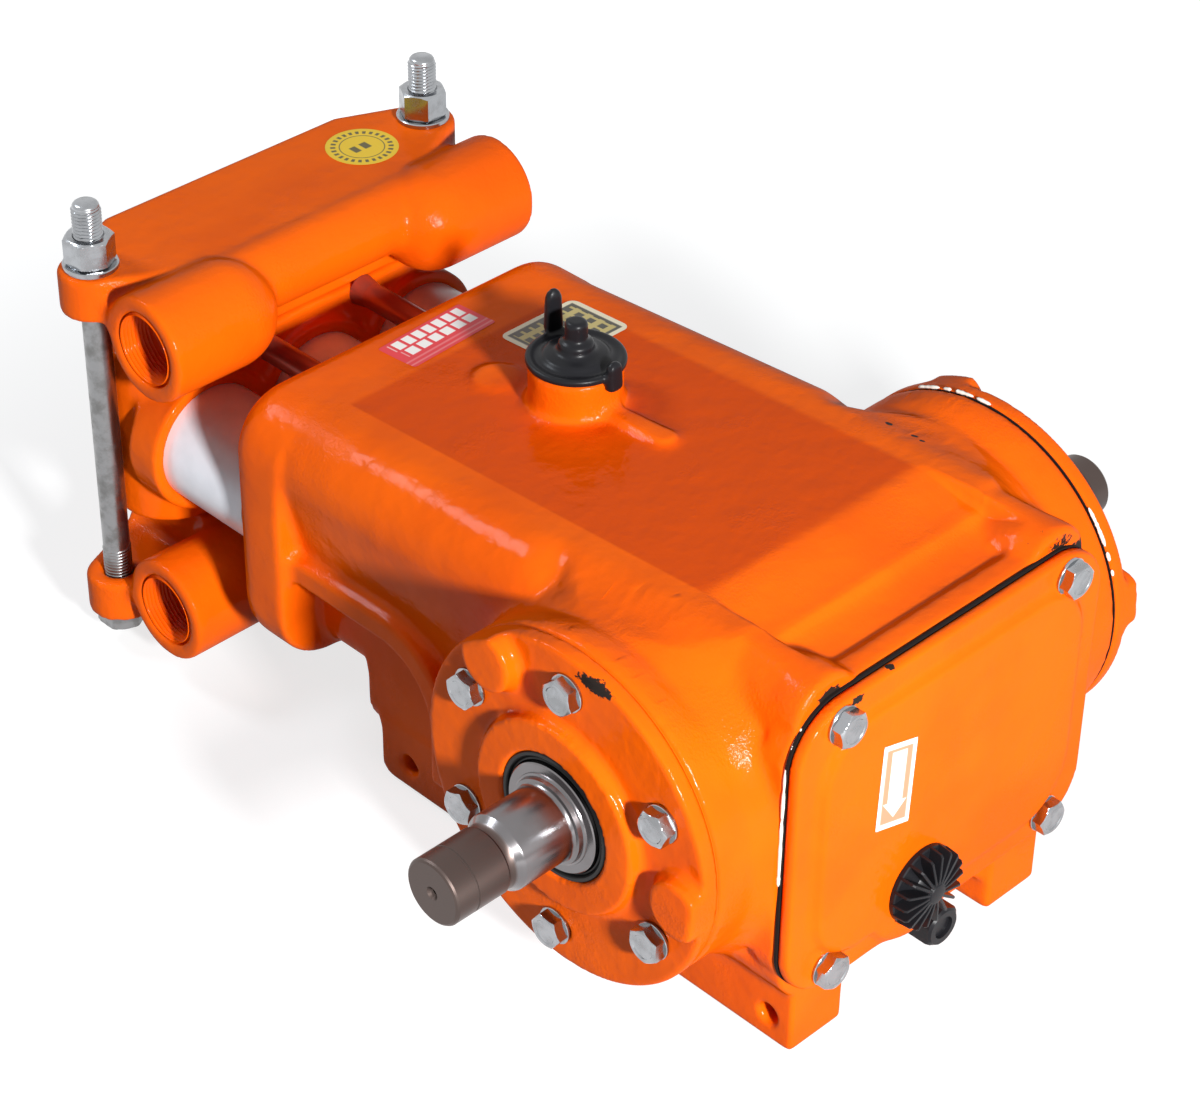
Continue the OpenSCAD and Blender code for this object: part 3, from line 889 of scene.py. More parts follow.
@dataclass(frozen=True)
class Film:
    """Printed sticker film with a generic print.

    Attributes:
        field: Colour of the field.
        ink: Colour of the marks.
        edge: Colour of the edge.
        pattern: The print.
    """

    field: tuple[float, ...]
    ink: tuple[float, ...]
    edge: tuple[float, ...]
    pattern: Print

    def build(self, name: str) -> bpy.types.Material:
        """Makes the material.

        Args:
            name: Name of the material.

        Returns:
            The material.
        """
        graph = Graph(name)
        across, up, _ = graph.parts(graph.sheet)
        makers = {
            Print.BARS: self.bars,
            Print.ARROW: self.arrow,
            Print.RING: self.ring,
            Print.PLATE: self.plate,
        }
        colour = makers[self.pattern](graph, across, up)
        graph.surface(
            Base_Color=colour,
            Roughness=0.32,
            Specular_IOR_Level=0.4,
            Normal=graph.bump(graph.noise(160, 2), 0.05),
        )
        return graph.material

    def marks(self, graph: Graph, across: object, count: float, fill: float) -> bpy.types.NodeSocket:
        """Breaks a row into short marks.

        Args:
            graph: The material's builder.
            across: Place along the row.
            count: Marks over the whole width.
            fill: Share of each mark that is inked.

        Returns:
            1 on a mark and 0 between.
        """
        beat = graph.math("FRACT", graph.product(across, count))
        return graph.ease(beat, fill + 0.06, fill - 0.06)

    def bars(self, graph: Graph, across: object, up: object) -> bpy.types.NodeSocket:
        """Two rows of block marks over two thin strips.

        Args:
            graph: The material's builder.
            across: Place along the sticker.
            up: Place up the sticker.

        Returns:
            The colour.
        """
        rows = []
        upper = ((0.66, 0.93), (0.08, 0.94), (8.2, 0.72))
        lower = ((0.36, 0.6), (0.1, 0.95), (7.1, 0.74))
        for band, span, beat in (upper, lower):
            marks = self.marks(graph, across, *beat)
            rows.append(graph.product(graph.within(up, *band), graph.within(across, *span), marks))
        strips = graph.math("MAXIMUM", graph.within(up, 0.2, 0.25), graph.within(up, 0.07, 0.12))
        colour = graph.blend(graph.math("MAXIMUM", *rows), self.field, self.ink)
        return graph.blend(graph.product(strips, 0.6), colour, self.edge)

    def arrow(self, graph: Graph, across: object, up: object) -> bpy.types.NodeSocket:
        """Plain arrow that points down inside an edge.

        Args:
            graph: The material's builder.
            across: Place along the sticker.
            up: Place up the sticker.

        Returns:
            The colour.
        """
        aside = graph.math("ABSOLUTE", graph.math("SUBTRACT", across, 0.5))
        inside = graph.product(graph.within(across, 0.11, 0.89, 0.03), graph.within(up, 0.06, 0.94))
        shaft = graph.product(graph.ease(aside, 0.24, 0.2), graph.within(up, 0.3, 0.9))
        slope = graph.math("SUBTRACT", graph.product(up, 1.9), 0.2)
        point = graph.ease(graph.math("SUBTRACT", slope, aside), 0.0, 0.04)
        head = graph.product(point, graph.within(up, 0.1, 0.3))
        spread = graph.product(graph.ease(aside, 0.13, 0.1), graph.within(up, 0.36, 0.84))
        dashes = graph.product(self.marks(graph, up, 17, 0.4), spread, 0.55)
        colour = graph.blend(graph.math("MAXIMUM", shaft, head), self.field, self.edge)
        colour = graph.blend(dashes, colour, self.ink)
        return graph.blend(inside, self.edge, colour)

    def ring(self, graph: Graph, across: object, up: object) -> bpy.types.NodeSocket:
        """Round print with a ring of ticks and two bars in the middle.

        Args:
            graph: The material's builder.
            across: Place along the sticker.
            up: Place up the sticker.

        Returns:
            The colour.
        """
        x = graph.math("SUBTRACT", across, 0.5)
        y = graph.math("SUBTRACT", up, 0.5)
        squares = graph.math("ADD", graph.product(x, x), graph.product(y, y))
        radius = graph.math("SQRT", squares)
        angle = graph.math("DIVIDE", graph.math("ARCTAN2", y, x), 2 * math.pi)
        ticks = graph.product(graph.within(radius, 0.36, 0.43), self.marks(graph, angle, 26, 0.5))
        circle = graph.within(radius, 0.3, 0.315, 0.006)
        bars = graph.product(graph.within(y, -0.08, 0.08), graph.within(x, -0.17, 0.17))
        bars = graph.product(bars, self.marks(graph, x, 5.5, 0.62))
        ink = graph.math("MAXIMUM", graph.math("MAXIMUM", ticks, circle), bars)
        return graph.blend(ink, self.field, self.ink)

    def plate(self, graph: Graph, across: object, up: object) -> bpy.types.NodeSocket:
        """Field with a pale edge, a dark border line and bars.

        Args:
            graph: The material's builder.
            across: Place along the sticker.
            up: Place up the sticker.

        Returns:
            The colour.
        """
        inside = graph.product(graph.within(across, 0.06, 0.94), graph.within(up, 0.07, 0.93))
        core = graph.product(graph.within(across, 0.1, 0.9), graph.within(up, 0.12, 0.88))
        rows = graph.product(self.marks(graph, up, 5, 0.55), self.marks(graph, across, 9, 0.7))
        colour = graph.blend(rows, self.field, self.ink)
        return graph.blend(inside, self.edge, graph.blend(core, self.ink, colour))


# Chips in the paint of the crankcase
CASE_CHIPS = (
    Spot((-81.0, -247.0, 217.0), (8.0, 7.0, 4.0)),
    Spot((82.0, -243.0, 217.0), (13.0, 9.0, 8.0)),
    Spot((97.0, -247.0, 209.0), (9.0, 6.0, 6.0)),
    Spot((99.0, -126.7, 220.5), (2.0, 2.4, 4.0)),
    Spot((98.5, -143.7, 221.5), (1.7, 2.0, 4.0)),
    Spot((97.0, -150.0, 222.0), (1.3, 1.5, 4.0)),
)
# Chips in the paint of the rear cover and the left bearing cover
COVER_CHIPS = (
    Spot((-153.8, -173.0, 217.5), (4.0, 11.0, 4.5)),
    Spot((-71.0, -258.3, 213.5), (4.5, 3.0, 2.2)),
    Spot((-46.0, -255.0, 217.5), (2.5, 3.0, 2.0)),
)


class Finishes:
    """All materials of the pump."""

    def __init__(self) -> None:
        """Makes the materials."""
        enamel = Enamel()
        self.enamel = enamel.build("orange_enamel")
        # The crankcase enamel carries painted shade on its flat top panel
        self.case_enamel = enamel.build("orange_enamel_case", CASE_CHIPS, True)
        self.cover_enamel = enamel.build("orange_enamel_cover", COVER_CHIPS)
        self.steel = TurnedSteel().build("turned_steel")
        ground = Metal((0.3, 0.3, 0.305, 1.0), 0.28, 0.02, (0.19, 0.188, 0.185, 1.0))
        plated = Metal((0.4, 0.412, 0.43, 1.0), 0.15, 0.02, (0.31, 0.318, 0.33, 1.0))
        self.rod_steel = ground.build("rod_steel")
        self.zinc = plated.build("zinc_plating")
        self.plastic = Moulded((0.01, 0.01, 0.012, 1.0), 0.33, 0.03, specular=0.16).build("black_plastic")
        self.rubber = Moulded((0.006, 0.006, 0.006, 1.0), 0.3, 0.02, specular=0.2).build("seal_rubber")
        self.gasket = Moulded((0.012, 0.009, 0.008, 1.0), 0.8, 0.05, specular=0.1).build("gasket_sheet")
        self.sleeve = Moulded((0.86, 0.88, 0.94, 1.0), 0.34, 0.012).build("white_sleeve")
        # Grey steel spacer rods; their reddish tint is the orange enamel's reflection painted into the colour
        self.painted_reflection_rod = Moulded((0.3, 0.075, 0.05, 1.0), 0.32, 0.03, 0.45).build("coppered_rod")
        self.filler = Moulded((0.85, 0.82, 0.74, 1.0), 0.6, 0.1).build("joint_filler")
        white = (0.88, 0.86, 0.82, 1.0)
        cream = (0.78, 0.7, 0.5, 1.0)
        bars = Film((0.72, 0.03, 0.045, 1.0), white, (0.8, 0.25, 0.26, 1.0), Print.BARS)
        arrow = Film((0.82, 0.27, 0.15, 1.0), (0.5, 0.42, 0.4, 1.0), white, Print.ARROW)
        circle = Film((0.8, 0.52, 0.0, 1.0), (0.09, 0.07, 0.01, 1.0), white, Print.RING)
        plate = Film((0.5, 0.4, 0.14, 1.0), (0.05, 0.045, 0.03, 1.0), cream, Print.PLATE)
        self.bars = bars.build("film_bars")
        self.arrow = arrow.build("film_arrow")
        self.ring = circle.build("film_ring")
        self.plate = plate.build("film_plate")
        LOG.info("materials made: %d", len(bpy.data.materials))


@dataclass(frozen=True)
class Skin:
    """Turns sharp CAD solids into one cast skin with fillets and rounded edges.

    Attributes:
        voxel: Grid size.
        fillet: Radius of the fillets in inner corners.
        edge: Radius of the rounded outer edges.
        triangles: Most triangles that the skin keeps.
    """

    voxel: float
    fillet: float
    edge: float
    triangles: int

    def read(self, node: bpy.types.Object) -> Shape:
        """Copies a CAD node's mesh.

        Args:
            node: The CAD node.

        Returns:
            Its shape in millimetres.
        """
        mesh = node.data
        mesh.calc_loop_triangles()
        verts = np.empty(len(mesh.vertices) * 3, np.float32)
        mesh.vertices.foreach_get("co", verts)
        corners = np.empty(len(mesh.loop_triangles) * 3, np.int32)
        mesh.loop_triangles.foreach_get("vertices", corners)
        faces = [tuple(face) for face in corners.reshape(-1, 3).tolist()]
        return Shape(verts.reshape(-1, 3) / MM, faces)

    def offset(self, points: np.ndarray, faces: np.ndarray, distance: float) -> tuple[np.ndarray, np.ndarray]:
        """Moves a closed surface outwards.

        Args:
            points: Vertices.
            faces: Triangles or quads.
            distance: How far it moves, negative for inwards.

        Returns:
            Points and quads of the moved surface.
        """
        kind = "quads" if faces.shape[1] == 4 else "triangles"
        grid = openvdb.FloatGrid.createLevelSetFromPolygons(
            points.astype(np.float32),
            transform=openvdb.createLinearTransform(voxelSize=self.voxel),
            halfWidth=abs(distance) / self.voxel + 3,
            **{kind: faces.astype(np.uint32)},
        )
        return grid.convertToQuads(isovalue=distance)

    def cast(self, shape: Shape) -> Shape:
        """Rounds a shape.

        Args:
            shape: One or more closed solids, which may run into each other.

        Returns:
            The rounded skin, inside the box of the shape.
        """
        points = shape.verts
        faces = np.array([face[:3] for face in triangles_of(shape.faces)])
        for distance in (self.fillet, -self.fillet, -self.edge, self.edge):
            points, faces = self.offset(points, faces, distance)
        points = np.clip(points, shape.verts.min(0), shape.verts.max(0))
        quads = faces[:, ::-1] if signed_volume(points, faces) < 0 else faces
        return thinned(Shape(points, [tuple(quad) for quad in quads.tolist()]), self.triangles)


def triangles_of(faces: list[tuple[int, ...]]) -> list[tuple[int, int, int]]:
    """Splits faces into triangles.

    Args:
        faces: Convex faces of any number of corners.

    Returns:
        The triangles.
    """
    return [(face[0], face[k], face[k + 1]) for face in faces for k in range(1, len(face) - 1)]


def signed_volume(points: np.ndarray, quads: np.ndarray) -> float:
    """Measures the volume inside a skin.

    Args:
        points: Vertices.
        quads: Faces of four corners.

    Returns:
        The volume, negative if the faces look inwards.
    """
    total = 0.0
    for order in ((0, 1, 2), (0, 2, 3)):
        a, b, c = (points[quads[:, k]] for k in order)
        total += float(np.einsum("ij,ij->i", a, np.cross(b, c)).sum())
    return total / 6


def thinned(shape: Shape, limit: int) -> Shape:
    """Thins a dense mesh down to a number of triangles.

    Args:
        shape: The mesh.
        limit: Most triangles to keep.

    Returns:
        The thinner mesh.
    """
    count = 2 * len(shape.faces)
    if count <= limit:
        return shape
    mesh = bpy.data.meshes.new("thinned")
    mesh.from_pydata(shape.verts.tolist(), [], shape.faces)
    obj = add_object("thinned", mesh)
    modifier = obj.modifiers.new("thin", "DECIMATE")
    modifier.ratio = limit / count
    result = bpy.data.meshes.new_from_object(obj.evaluated_get(bpy.context.evaluated_depsgraph_get()))
    verts = np.empty(len(result.vertices) * 3, np.float32)
    result.vertices.foreach_get("co", verts)
    faces = [tuple(polygon.vertices) for polygon in result.polygons]
    bpy.data.objects.remove(obj)
    bpy.data.meshes.remove(mesh)
    bpy.data.meshes.remove(result)
    return Shape(verts.reshape(-1, 3), faces)


@dataclass(frozen=True)
class Castings:
    """All enamelled castings.

    Attributes:
        case: Skin of the crankcase.
        cover: Skin of the bearing covers.
        rear: Skin of the rear cover.
        head: Skin of the cylinder head and the manifolds.
        boss_r: Radius of the boss round the oil level plug.
        boss_at: Place of that boss from the crankshaft axis, in X and Z.
        crest_x: Where the hollow beside the panel starts, is deepest from and to, and ends, along X.
        crest_y: The same along Y.
        crest_z: Heights between which the hollow grows in.
        crest_fall: Depth of the hollow.
        slope: Section of the slope behind the panel, along Y and Z from the axis.
        slope_half_w: Half width of that slope.
        band_x: Half widths between which the fall of the panel's rear band grows in.
        band_y: Where the rear band starts, ends and runs out, along Y.
        band_z: Heights between which the fall grows in.
        band_fall: How far the band falls.
    """

    case: Skin = Skin(1.6, 3.2, 1.5, 190000)
    cover: Skin = Skin(1.1, 3.2, 1.3, 70000)
    rear: Skin = Skin(1.2, 3.4, 1.4, 70000)
    head: Skin = Skin(1.3, 4.6, 1.6, 80000)
    boss_r: float = 33.0
    boss_at: tuple[float, float] = (-20.0, -56.0)
    crest_x: tuple[float, float, float, float] = (86.0, 110.0, 118.0, 138.0)
    crest_y: tuple[float, float, float, float] = (-92.0, -68.0, 54.0, 78.0)
    crest_z: tuple[float, float] = (58.0, 88.0)
    crest_fall: float = 5.5
    slope: tuple[tuple[float, float], ...] = (
        (-50.0, 60.0), (-50.0, 93.9), (-56.0, 93.9), (-69.0, 86.9), (-86.0, 79.0), (-86.0, 60.0),
    )
    slope_half_w: float = 70.0
    band_x: tuple[float, float] = (77.5, 74.5)
    band_y: tuple[float, float, float] = (-10.0, -54.0, -84.0)
    band_z: tuple[float, float] = (71.0, 85.0)
    band_fall: float = 8.0

    def build(self, frame: dict, finishes: Finishes, layout: Layout) -> dict[str, Shape]:
        """Makes the castings.

        Args:
            frame: The loaded CAD frame.
            finishes: Materials.
            layout: Reference places.

        Returns:
            The skins by the name of their CAD node.
        """
        nodes = frame["nodes"]
        jobs = [
            ("crankcase", self.case, finishes.case_enamel, [self.rear_slope(layout)]),
            ("rear_cover", self.rear, finishes.cover_enamel, [self.plug_boss(layout)]),
            ("bearing_cover_left", self.cover, finishes.cover_enamel, []),
            ("bearing_cover_right", self.cover, finishes.enamel, []),
            ("cylinder_head", self.head, finishes.enamel, []),
            ("discharge_manifold", self.head, finishes.enamel, []),
            ("suction_manifold", self.head, finishes.enamel, []),
        ]
        skins = {}
        for name, skin, finish, extra in jobs:
            solid = skin.read(nodes[name]).joined(*extra)
            skins[name] = skin.cast(solid)
            if name == "crankcase":
                self.tilt_band(skins[name], layout)
                self.round_crest(skins[name], layout)
            add_piece(f"{name}_cast", skins[name], Body.PUMP, finish, (name,), 80.0)
        return skins

    def tilt_band(self, shape: Shape, layout: Layout) -> None:
        """Lets the rear band of the top panel fall towards the rear cover.

        Args:
            shape: The crankcase skin, changed in place.
            layout: Reference places.
        """
        x, y, z = layout.off_axis(shape)
        start, end, back = self.band_y
        fall = ramp(y, start, end) * (1 - ramp(y, end, back))
        shape.verts[:, 2] -= self.band_fall * fall * ramp(np.abs(x), *self.band_x) * ramp(z, *self.band_z)

    def round_crest(self, shape: Shape, layout: Layout) -> None:
        """Rounds the crest on each side of the top panel into a soft hollow before the housing.

        Args:
            shape: The crankcase skin, changed in place.
            layout: Reference places.
        """
        x, y, z = layout.off_axis(shape)
        start, low, rise, end = self.crest_x
        back, back_low, front_low, front = self.crest_y
        hollow = ramp(np.abs(x), start, low) * (1 - ramp(np.abs(x), rise, end))
        top = ramp(z, *self.crest_z) * ramp(y, front, front_low) * ramp(y, back, back_low)
        shape.verts[:, 2] -= self.crest_fall * hollow * top

    def rear_slope(self, layout: Layout) -> Shape:
        """Slope from the rear edge of the top panel down to the rear frame.

        Args:
            layout: Reference places.

        Returns:
            The slope.
        """
        rings = []
        for x in (-self.slope_half_w, self.slope_half_w):
            rings.append(np.array([tuple(layout.at(x, y, z)) for y, z in self.slope]))
        return Shape.loft(rings)

    def plug_boss(self, layout: Layout) -> Shape:
        """Boss of the rear cover that the oil level plug sits on.

        Args:
            layout: Reference places.

        Returns:
            The boss.
        """
        low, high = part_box("rear_cover")
        x, z = self.boss_at
        depth = (high.y - low.y) / MM
        boss = Shape.lathe([(self.boss_r, 0.0), (self.boss_r, depth - 1.5), (self.boss_r - 1.5, depth)])
        return boss.moved(facing((0, -1, 0), Vector((x, high.y / MM, z + layout.axis_z))))


@dataclass(frozen=True)
class HexBolt:
    """Hexagon bolt head with a washer, drawn along +Z from the face that it clamps.

    Attributes:
        flats: Distance across the flats.
        head: Height of the head.
        washer_r: Radius of the washer.
        washer_t: Thickness of the washer.
    """

    flats: float = 17.0
    head: float = 6.4
    washer_r: float = 10.0
    washer_t: float = 1.7

    def build(self) -> Shape:
        """Draws the head and the washer.

        Returns:
            The shape.
        """
        top = self.washer_t + self.head
        washer = Shape.lathe(
            [(self.washer_r - 0.3, 0.0), (self.washer_r, 0.3), (self.washer_r, self.washer_t - 0.3),
             (self.washer_r - 0.3, self.washer_t)], 48,
        )
        flat_r = self.flats * CHAMFER_SHARE
        corner = self.flats / math.sqrt(3)
        rings = [hex_ring(self.flats, corner - 0.4, self.washer_t)]
        rings.append(hex_ring(self.flats, corner, self.washer_t + 0.3))
        rings += hex_end(self.flats, top, 5)
        rings.append(hex_ring(self.flats, flat_r * 0.82, top))
        rings.append(hex_ring(self.flats, flat_r * 0.76, top - 0.4))
        return washer.joined(Shape.loft(rings))


@dataclass(frozen=True)
class BoltSets:
    """Bolts of the bearing covers and the rear cover.

    Attributes:
        bolt: The bolt head.
        face_x: Distance of the bearing cover face from the middle.
        circle: Radius of the bolt circle.
        count: Bolts on each bearing cover.
        turn: How far the heads lie past the straight-up place, in degrees.
        rear_x: Sideways place of the rear bolts.
        rear_z: Height of the rear bolts from the axis.
        rear_y: Distance of the rear cover flange behind the axis.
        spins: How far each head is turned, in degrees.
    """

    bolt: HexBolt = HexBolt()
    face_x: float = 153.8
    circle: float = 73.5
    count: int = 6
    turn: float = 2.7
    rear_x: float = 81.0
    rear_z: float = 74.0
    rear_y: float = 105.6
    spins: tuple[float, ...] = (12.0, 37.0, 3.0, 25.0, 50.0, 18.0)

    def build(self, finishes: Finishes, layout: Layout) -> None:
        """Makes the bolts.

        Args:
            finishes: Materials.
            layout: Reference places.
        """
        for side, name in SIDES:
            heads = []
            for k in range(self.count):
                angle = math.radians(90 + k * 360 / self.count + (self.turn if side < 0 else 0))
                across = self.circle * math.cos(angle)
                above = self.circle * math.sin(angle)
                at = layout.at(side * self.face_x, across, above)
                heads.append(self.bolt.build().moved(facing((side, 0, 0), at, self.spins[k])))
            shape = heads[0].joined(*heads[1:])
            add_piece(f"cover_bolts_{name}", shape, Body.PUMP, finishes.zinc, sharp=24.0)
        heads = []
        for k, (x, z) in enumerate(((-1, 1), (1, 1), (-1, -1), (1, -1))):
            at = layout.at(x * self.rear_x, -self.rear_y, z * self.rear_z)
            heads.append(self.bolt.build().moved(facing((0, -1, 0), at, self.spins[k])))
        shape = heads[0].joined(*heads[1:])
        add_piece("rear_cover_bolts", shape, Body.PUMP, finishes.zinc, sharp=24.0)


@dataclass(frozen=True)
class DriveShaft:
    """Turned ends of the crankshaft.

    Attributes:
        journal: Radius and end of the journal.
        race: Radius and face of the disc in the seal.
        collar: Radius and end of the ground collar.
        neck: Radius of the neck.
        drive: Radius and end of the drive end.
        drive_from: Where the drive end starts.
        groove_at: Where the thin groove lies.
        bevel: Bevel of the shaft end.
        centre_r: Radius of the centre hole.
    """

    journal: tuple[float, float] = (22.5, 164.4)
    race: tuple[float, float] = (29.2, 161.0)
    collar: tuple[float, float] = (20.0, 199.0)
    neck: float = 16.5
    drive: tuple[float, float] = (17.5, 236.0)
    drive_from: float = 203.0
    groove_at: float = 222.5
    bevel: float = 1.6
    centre_r: float = 3.0

    def build(self, finishes: Finishes, layout: Layout) -> None:
        """Makes the shaft.

        Args:
            finishes: Materials.
            layout: Reference places.
        """
        journal_r, journal_x = self.journal
        race_r, race_x = self.race
        collar_r, collar_x = self.collar
        radius, end = self.drive
        neck_x = self.drive_from
        half = [
            (journal_r, 0.0),
            (journal_r, race_x - 6.0),
            (race_r, race_x - 6.0),
            (race_r, race_x - 0.6),
            (race_r - 0.6, race_x),
            (journal_r + 1.9, race_x),
            (journal_r + 1.6, race_x + 0.7),
            (journal_r + 0.6, race_x + 1.2),
            (journal_r, journal_x),
            (collar_r + 0.9, journal_x + 0.4),
            (collar_r + 0.3, journal_x + 1.2),
            (collar_r, journal_x + 2.6),
            (collar_r, collar_x - 4.2),
            (collar_r - 0.4, collar_x - 3.0),
            (collar_r - 2.6, collar_x - 0.6),
            (self.neck + 0.5, collar_x + 0.6),
            (self.neck, collar_x + 1.8),
            (self.neck, neck_x - 0.4),
            (radius - 0.5, neck_x),
            (radius, neck_x + 0.8),
            (radius, self.groove_at - 0.6),
            (radius - 0.4, self.groove_at - 0.3),
            (radius - 0.4, self.groove_at + 0.3),
            (radius, self.groove_at + 0.6),
            (radius, end - self.bevel),
            (radius - 0.6, end - self.bevel * 0.4),
            (radius - self.bevel, end),
            (self.centre_r + 0.6, end),
            (self.centre_r * 0.62, end - 2.4),
            (self.centre_r * 0.6, end - 6.0),
        ]
        whole = [(r, -x) for r, x in reversed(half[1:])] + half
        shape = Shape.lathe(whole, 96).moved(facing((1, 0, 0), layout.at(0, 0, 0)))
        add_piece("crankshaft_turned", shape, Body.SHAFT, finishes.steel, ("crankshaft",), 25.0)


@dataclass(frozen=True)
class ShaftSeals:
    """Rubber seals in the bearing covers.

    Attributes:
        outer: Outer radius.
        inner: Radius of the lip.
        floor_x: Where the seal starts.
        face_x: Where its rim ends.
    """

    outer: float = 34.4
    inner: float = 29.6
    floor_x: float = 152.8
    face_x: float = 159.6

    def build(self, finishes: Finishes, layout: Layout) -> None:
        """Makes both seals.

        Args:
            finishes: Materials.
            layout: Reference places.
        """
        top = self.face_x - self.floor_x
        profile = [
            (self.outer, 0.0), (self.outer, top - 0.5), (self.outer - 0.5, top), (self.outer - 2.0, top),
            (self.outer - 2.7, top - 0.6), (self.outer - 3.1, top - 1.8), (self.outer - 3.6, top - 1.2),
            (self.inner + 0.5, top - 0.9), (self.inner, top - 1.5), (self.inner, 0.0),
        ]
        for side, name in SIDES:
            shape = Shape.lathe(profile, 96, False, False)
            shape = shape.moved(facing((side, 0, 0), layout.at(side * self.floor_x, 0, 0)))
            add_piece(f"shaft_seal_{name}_lip", shape, Body.PUMP, finishes.rubber,
                      (f"shaft_seal_{name}",))


@dataclass(frozen=True)
class TieRods:
    """Tie rods with their nuts, washers and threads.

    Attributes:
        x: Sideways place of the rods.
        y: Distance of the rods in front of the axis.
        plate: Height of the clamp plate faces above and below the axis.
        top: Height of the rod ends.
        radius: Thread radius.
        shank: Radius of the plain shank.
        pitch: Thread pitch.
        flats: Distance across the flats.
        nut: Height of the nut.
        head: Height of the bolt head.
        washer: Radius and thickness of the washer.
        lower_thread: Where the lower thread ends.
    """

    x: float = 117.0
    y: float = 393.0
    plate: float = 110.5
    top: float = 149.0
    radius: float = 8.0
    shank: float = 7.5
    pitch: float = 2.0
    flats: float = 24.0
    nut: float = 16.0
    head: float = 10.0
    washer: tuple[float, float] = (15.0, 3.0)
    lower_thread: float = -68.0

    def build(self, finishes: Finishes, layout: Layout) -> None:
        """Makes both rods.

        Args:
            finishes: Materials.
            layout: Reference places.
        """
        for side, name in SIDES:
            base = Matrix.Translation(layout.at(side * self.x, self.y, 0))
            add_piece(f"tie_rod_{name}_turned", self.rod().moved(base), Body.PUMP,
                      finishes.rod_steel, (f"tie_rod_{name}",))
            spin = Matrix.Rotation(math.radians(17 + 14 * side), 4, "Z")
            add_piece(f"tie_nut_{name}_turned", self.nut_shape().moved(base @ spin), Body.PUMP,
                      finishes.zinc, (f"tie_nut_{name}",), 24.0)
            add_piece(f"tie_washer_{name}_turned", self.washer_shape().moved(base), Body.PUMP,
                      finishes.zinc, (f"tie_washer_{name}",))
            end = self.end_shape().moved(base)
            add_piece(f"tie_rod_{name}_end", end, Body.PUMP, finishes.zinc)

    def rod(self) -> Shape:
        """Bolt head, shank and lower thread.

        Returns:
            The shape.
        """
        shank = Shape.lathe([(self.shank, -self.plate), (self.shank, self.plate + self.nut)], 48)
        corner = self.flats / math.sqrt(3)
        low = -self.plate - self.head
        outline = (
            (self.flats * CHAMFER_SHARE, low), (corner * 0.95, low + 1.0),
            (corner, low + 1.9), (corner, -self.plate),
        )
        rings = [hex_ring(self.flats, limit, height) for limit, height in outline]
        length = self.lower_thread + self.plate
        thread = Shape.thread(self.radius, 1.0, self.pitch, length)
        return shank.joined(Shape.loft(rings), thread.moved(Matrix.Translation((0, 0, -self.plate))))

    def end_shape(self) -> Shape:
        """Threaded end above the nut.

        Returns:
            The shape.
        """
        start = self.plate + self.washer[1]
        length = self.top - start - 2.2
        thread = Shape.thread(self.radius, 0.95, self.pitch, length).moved(Matrix.Translation((0, 0, start)))
        root = self.radius - 0.95
        dome = Shape.lathe(
            [(root, self.top - 2.4), (root, self.top - 1.6), (root - 0.7, self.top - 0.6),
             (root - 1.8, self.top)], 48,
        )
        return thread.joined(dome)

    def nut_shape(self) -> Shape:
        """Nut with both ends chamfered.

        Returns:
            The shape.
        """
        start = self.plate + self.washer[1]
        end = start + self.nut
        rings = hex_end(self.flats, start, 4, -1)[::-1] + hex_end(self.flats, end, 5)
        rings.append(hex_ring(self.flats, self.radius + 0.5, end))
        rings.append(hex_ring(self.flats, self.radius - 0.6, end - 1.0))
        return Shape.loft(rings)

    def washer_shape(self) -> Shape:
        """Round washer with softened rims.

        Returns:
            The shape.
        """
        radius, thickness = self.washer
        low = self.plate
        return Shape.lathe(
            [(self.radius, low), (radius - 0.4, low), (radius, low + 0.4), (radius, low + thickness - 0.5),
             (radius - 0.5, low + thickness), (self.radius, low + thickness)], 64, False, False,
        )


@dataclass(frozen=True)
class PortThreads:
    """Threads inside the four pipe ends.

    Attributes:
        radius: Root radius of the thread.
        depth: Thread depth.
        pitch: Thread pitch.
        length: Thread length.
        face_x: Distance of the port faces from the middle.
        y: Distance of the pipes in front of the axis.
        heights: Heights of the two pipes from the axis.
    """

    radius: float = 20.9
    depth: float = 1.35
    pitch: float = 2.31
    length: float = 22.0
    face_x: float = 125.2
    y: float = 341.0
    heights: tuple[float, float] = (85.5, -83.0)

    def build(self, finishes: Finishes, layout: Layout) -> None:
        """Makes the threads.

        Args:
            finishes: Materials.
            layout: Reference places.
        """
        for height, row in zip(self.heights, ("discharge", "suction")):
            for side, name in SIDES:
                thread = Shape.thread(self.radius, self.depth, self.pitch, self.length, True, 72)
                at = layout.at(side * self.face_x, self.y, height)
                add_piece(f"{row}_thread_{name}", thread.moved(facing((-side, 0, 0), at)), Body.PUMP,
                          finishes.enamel)


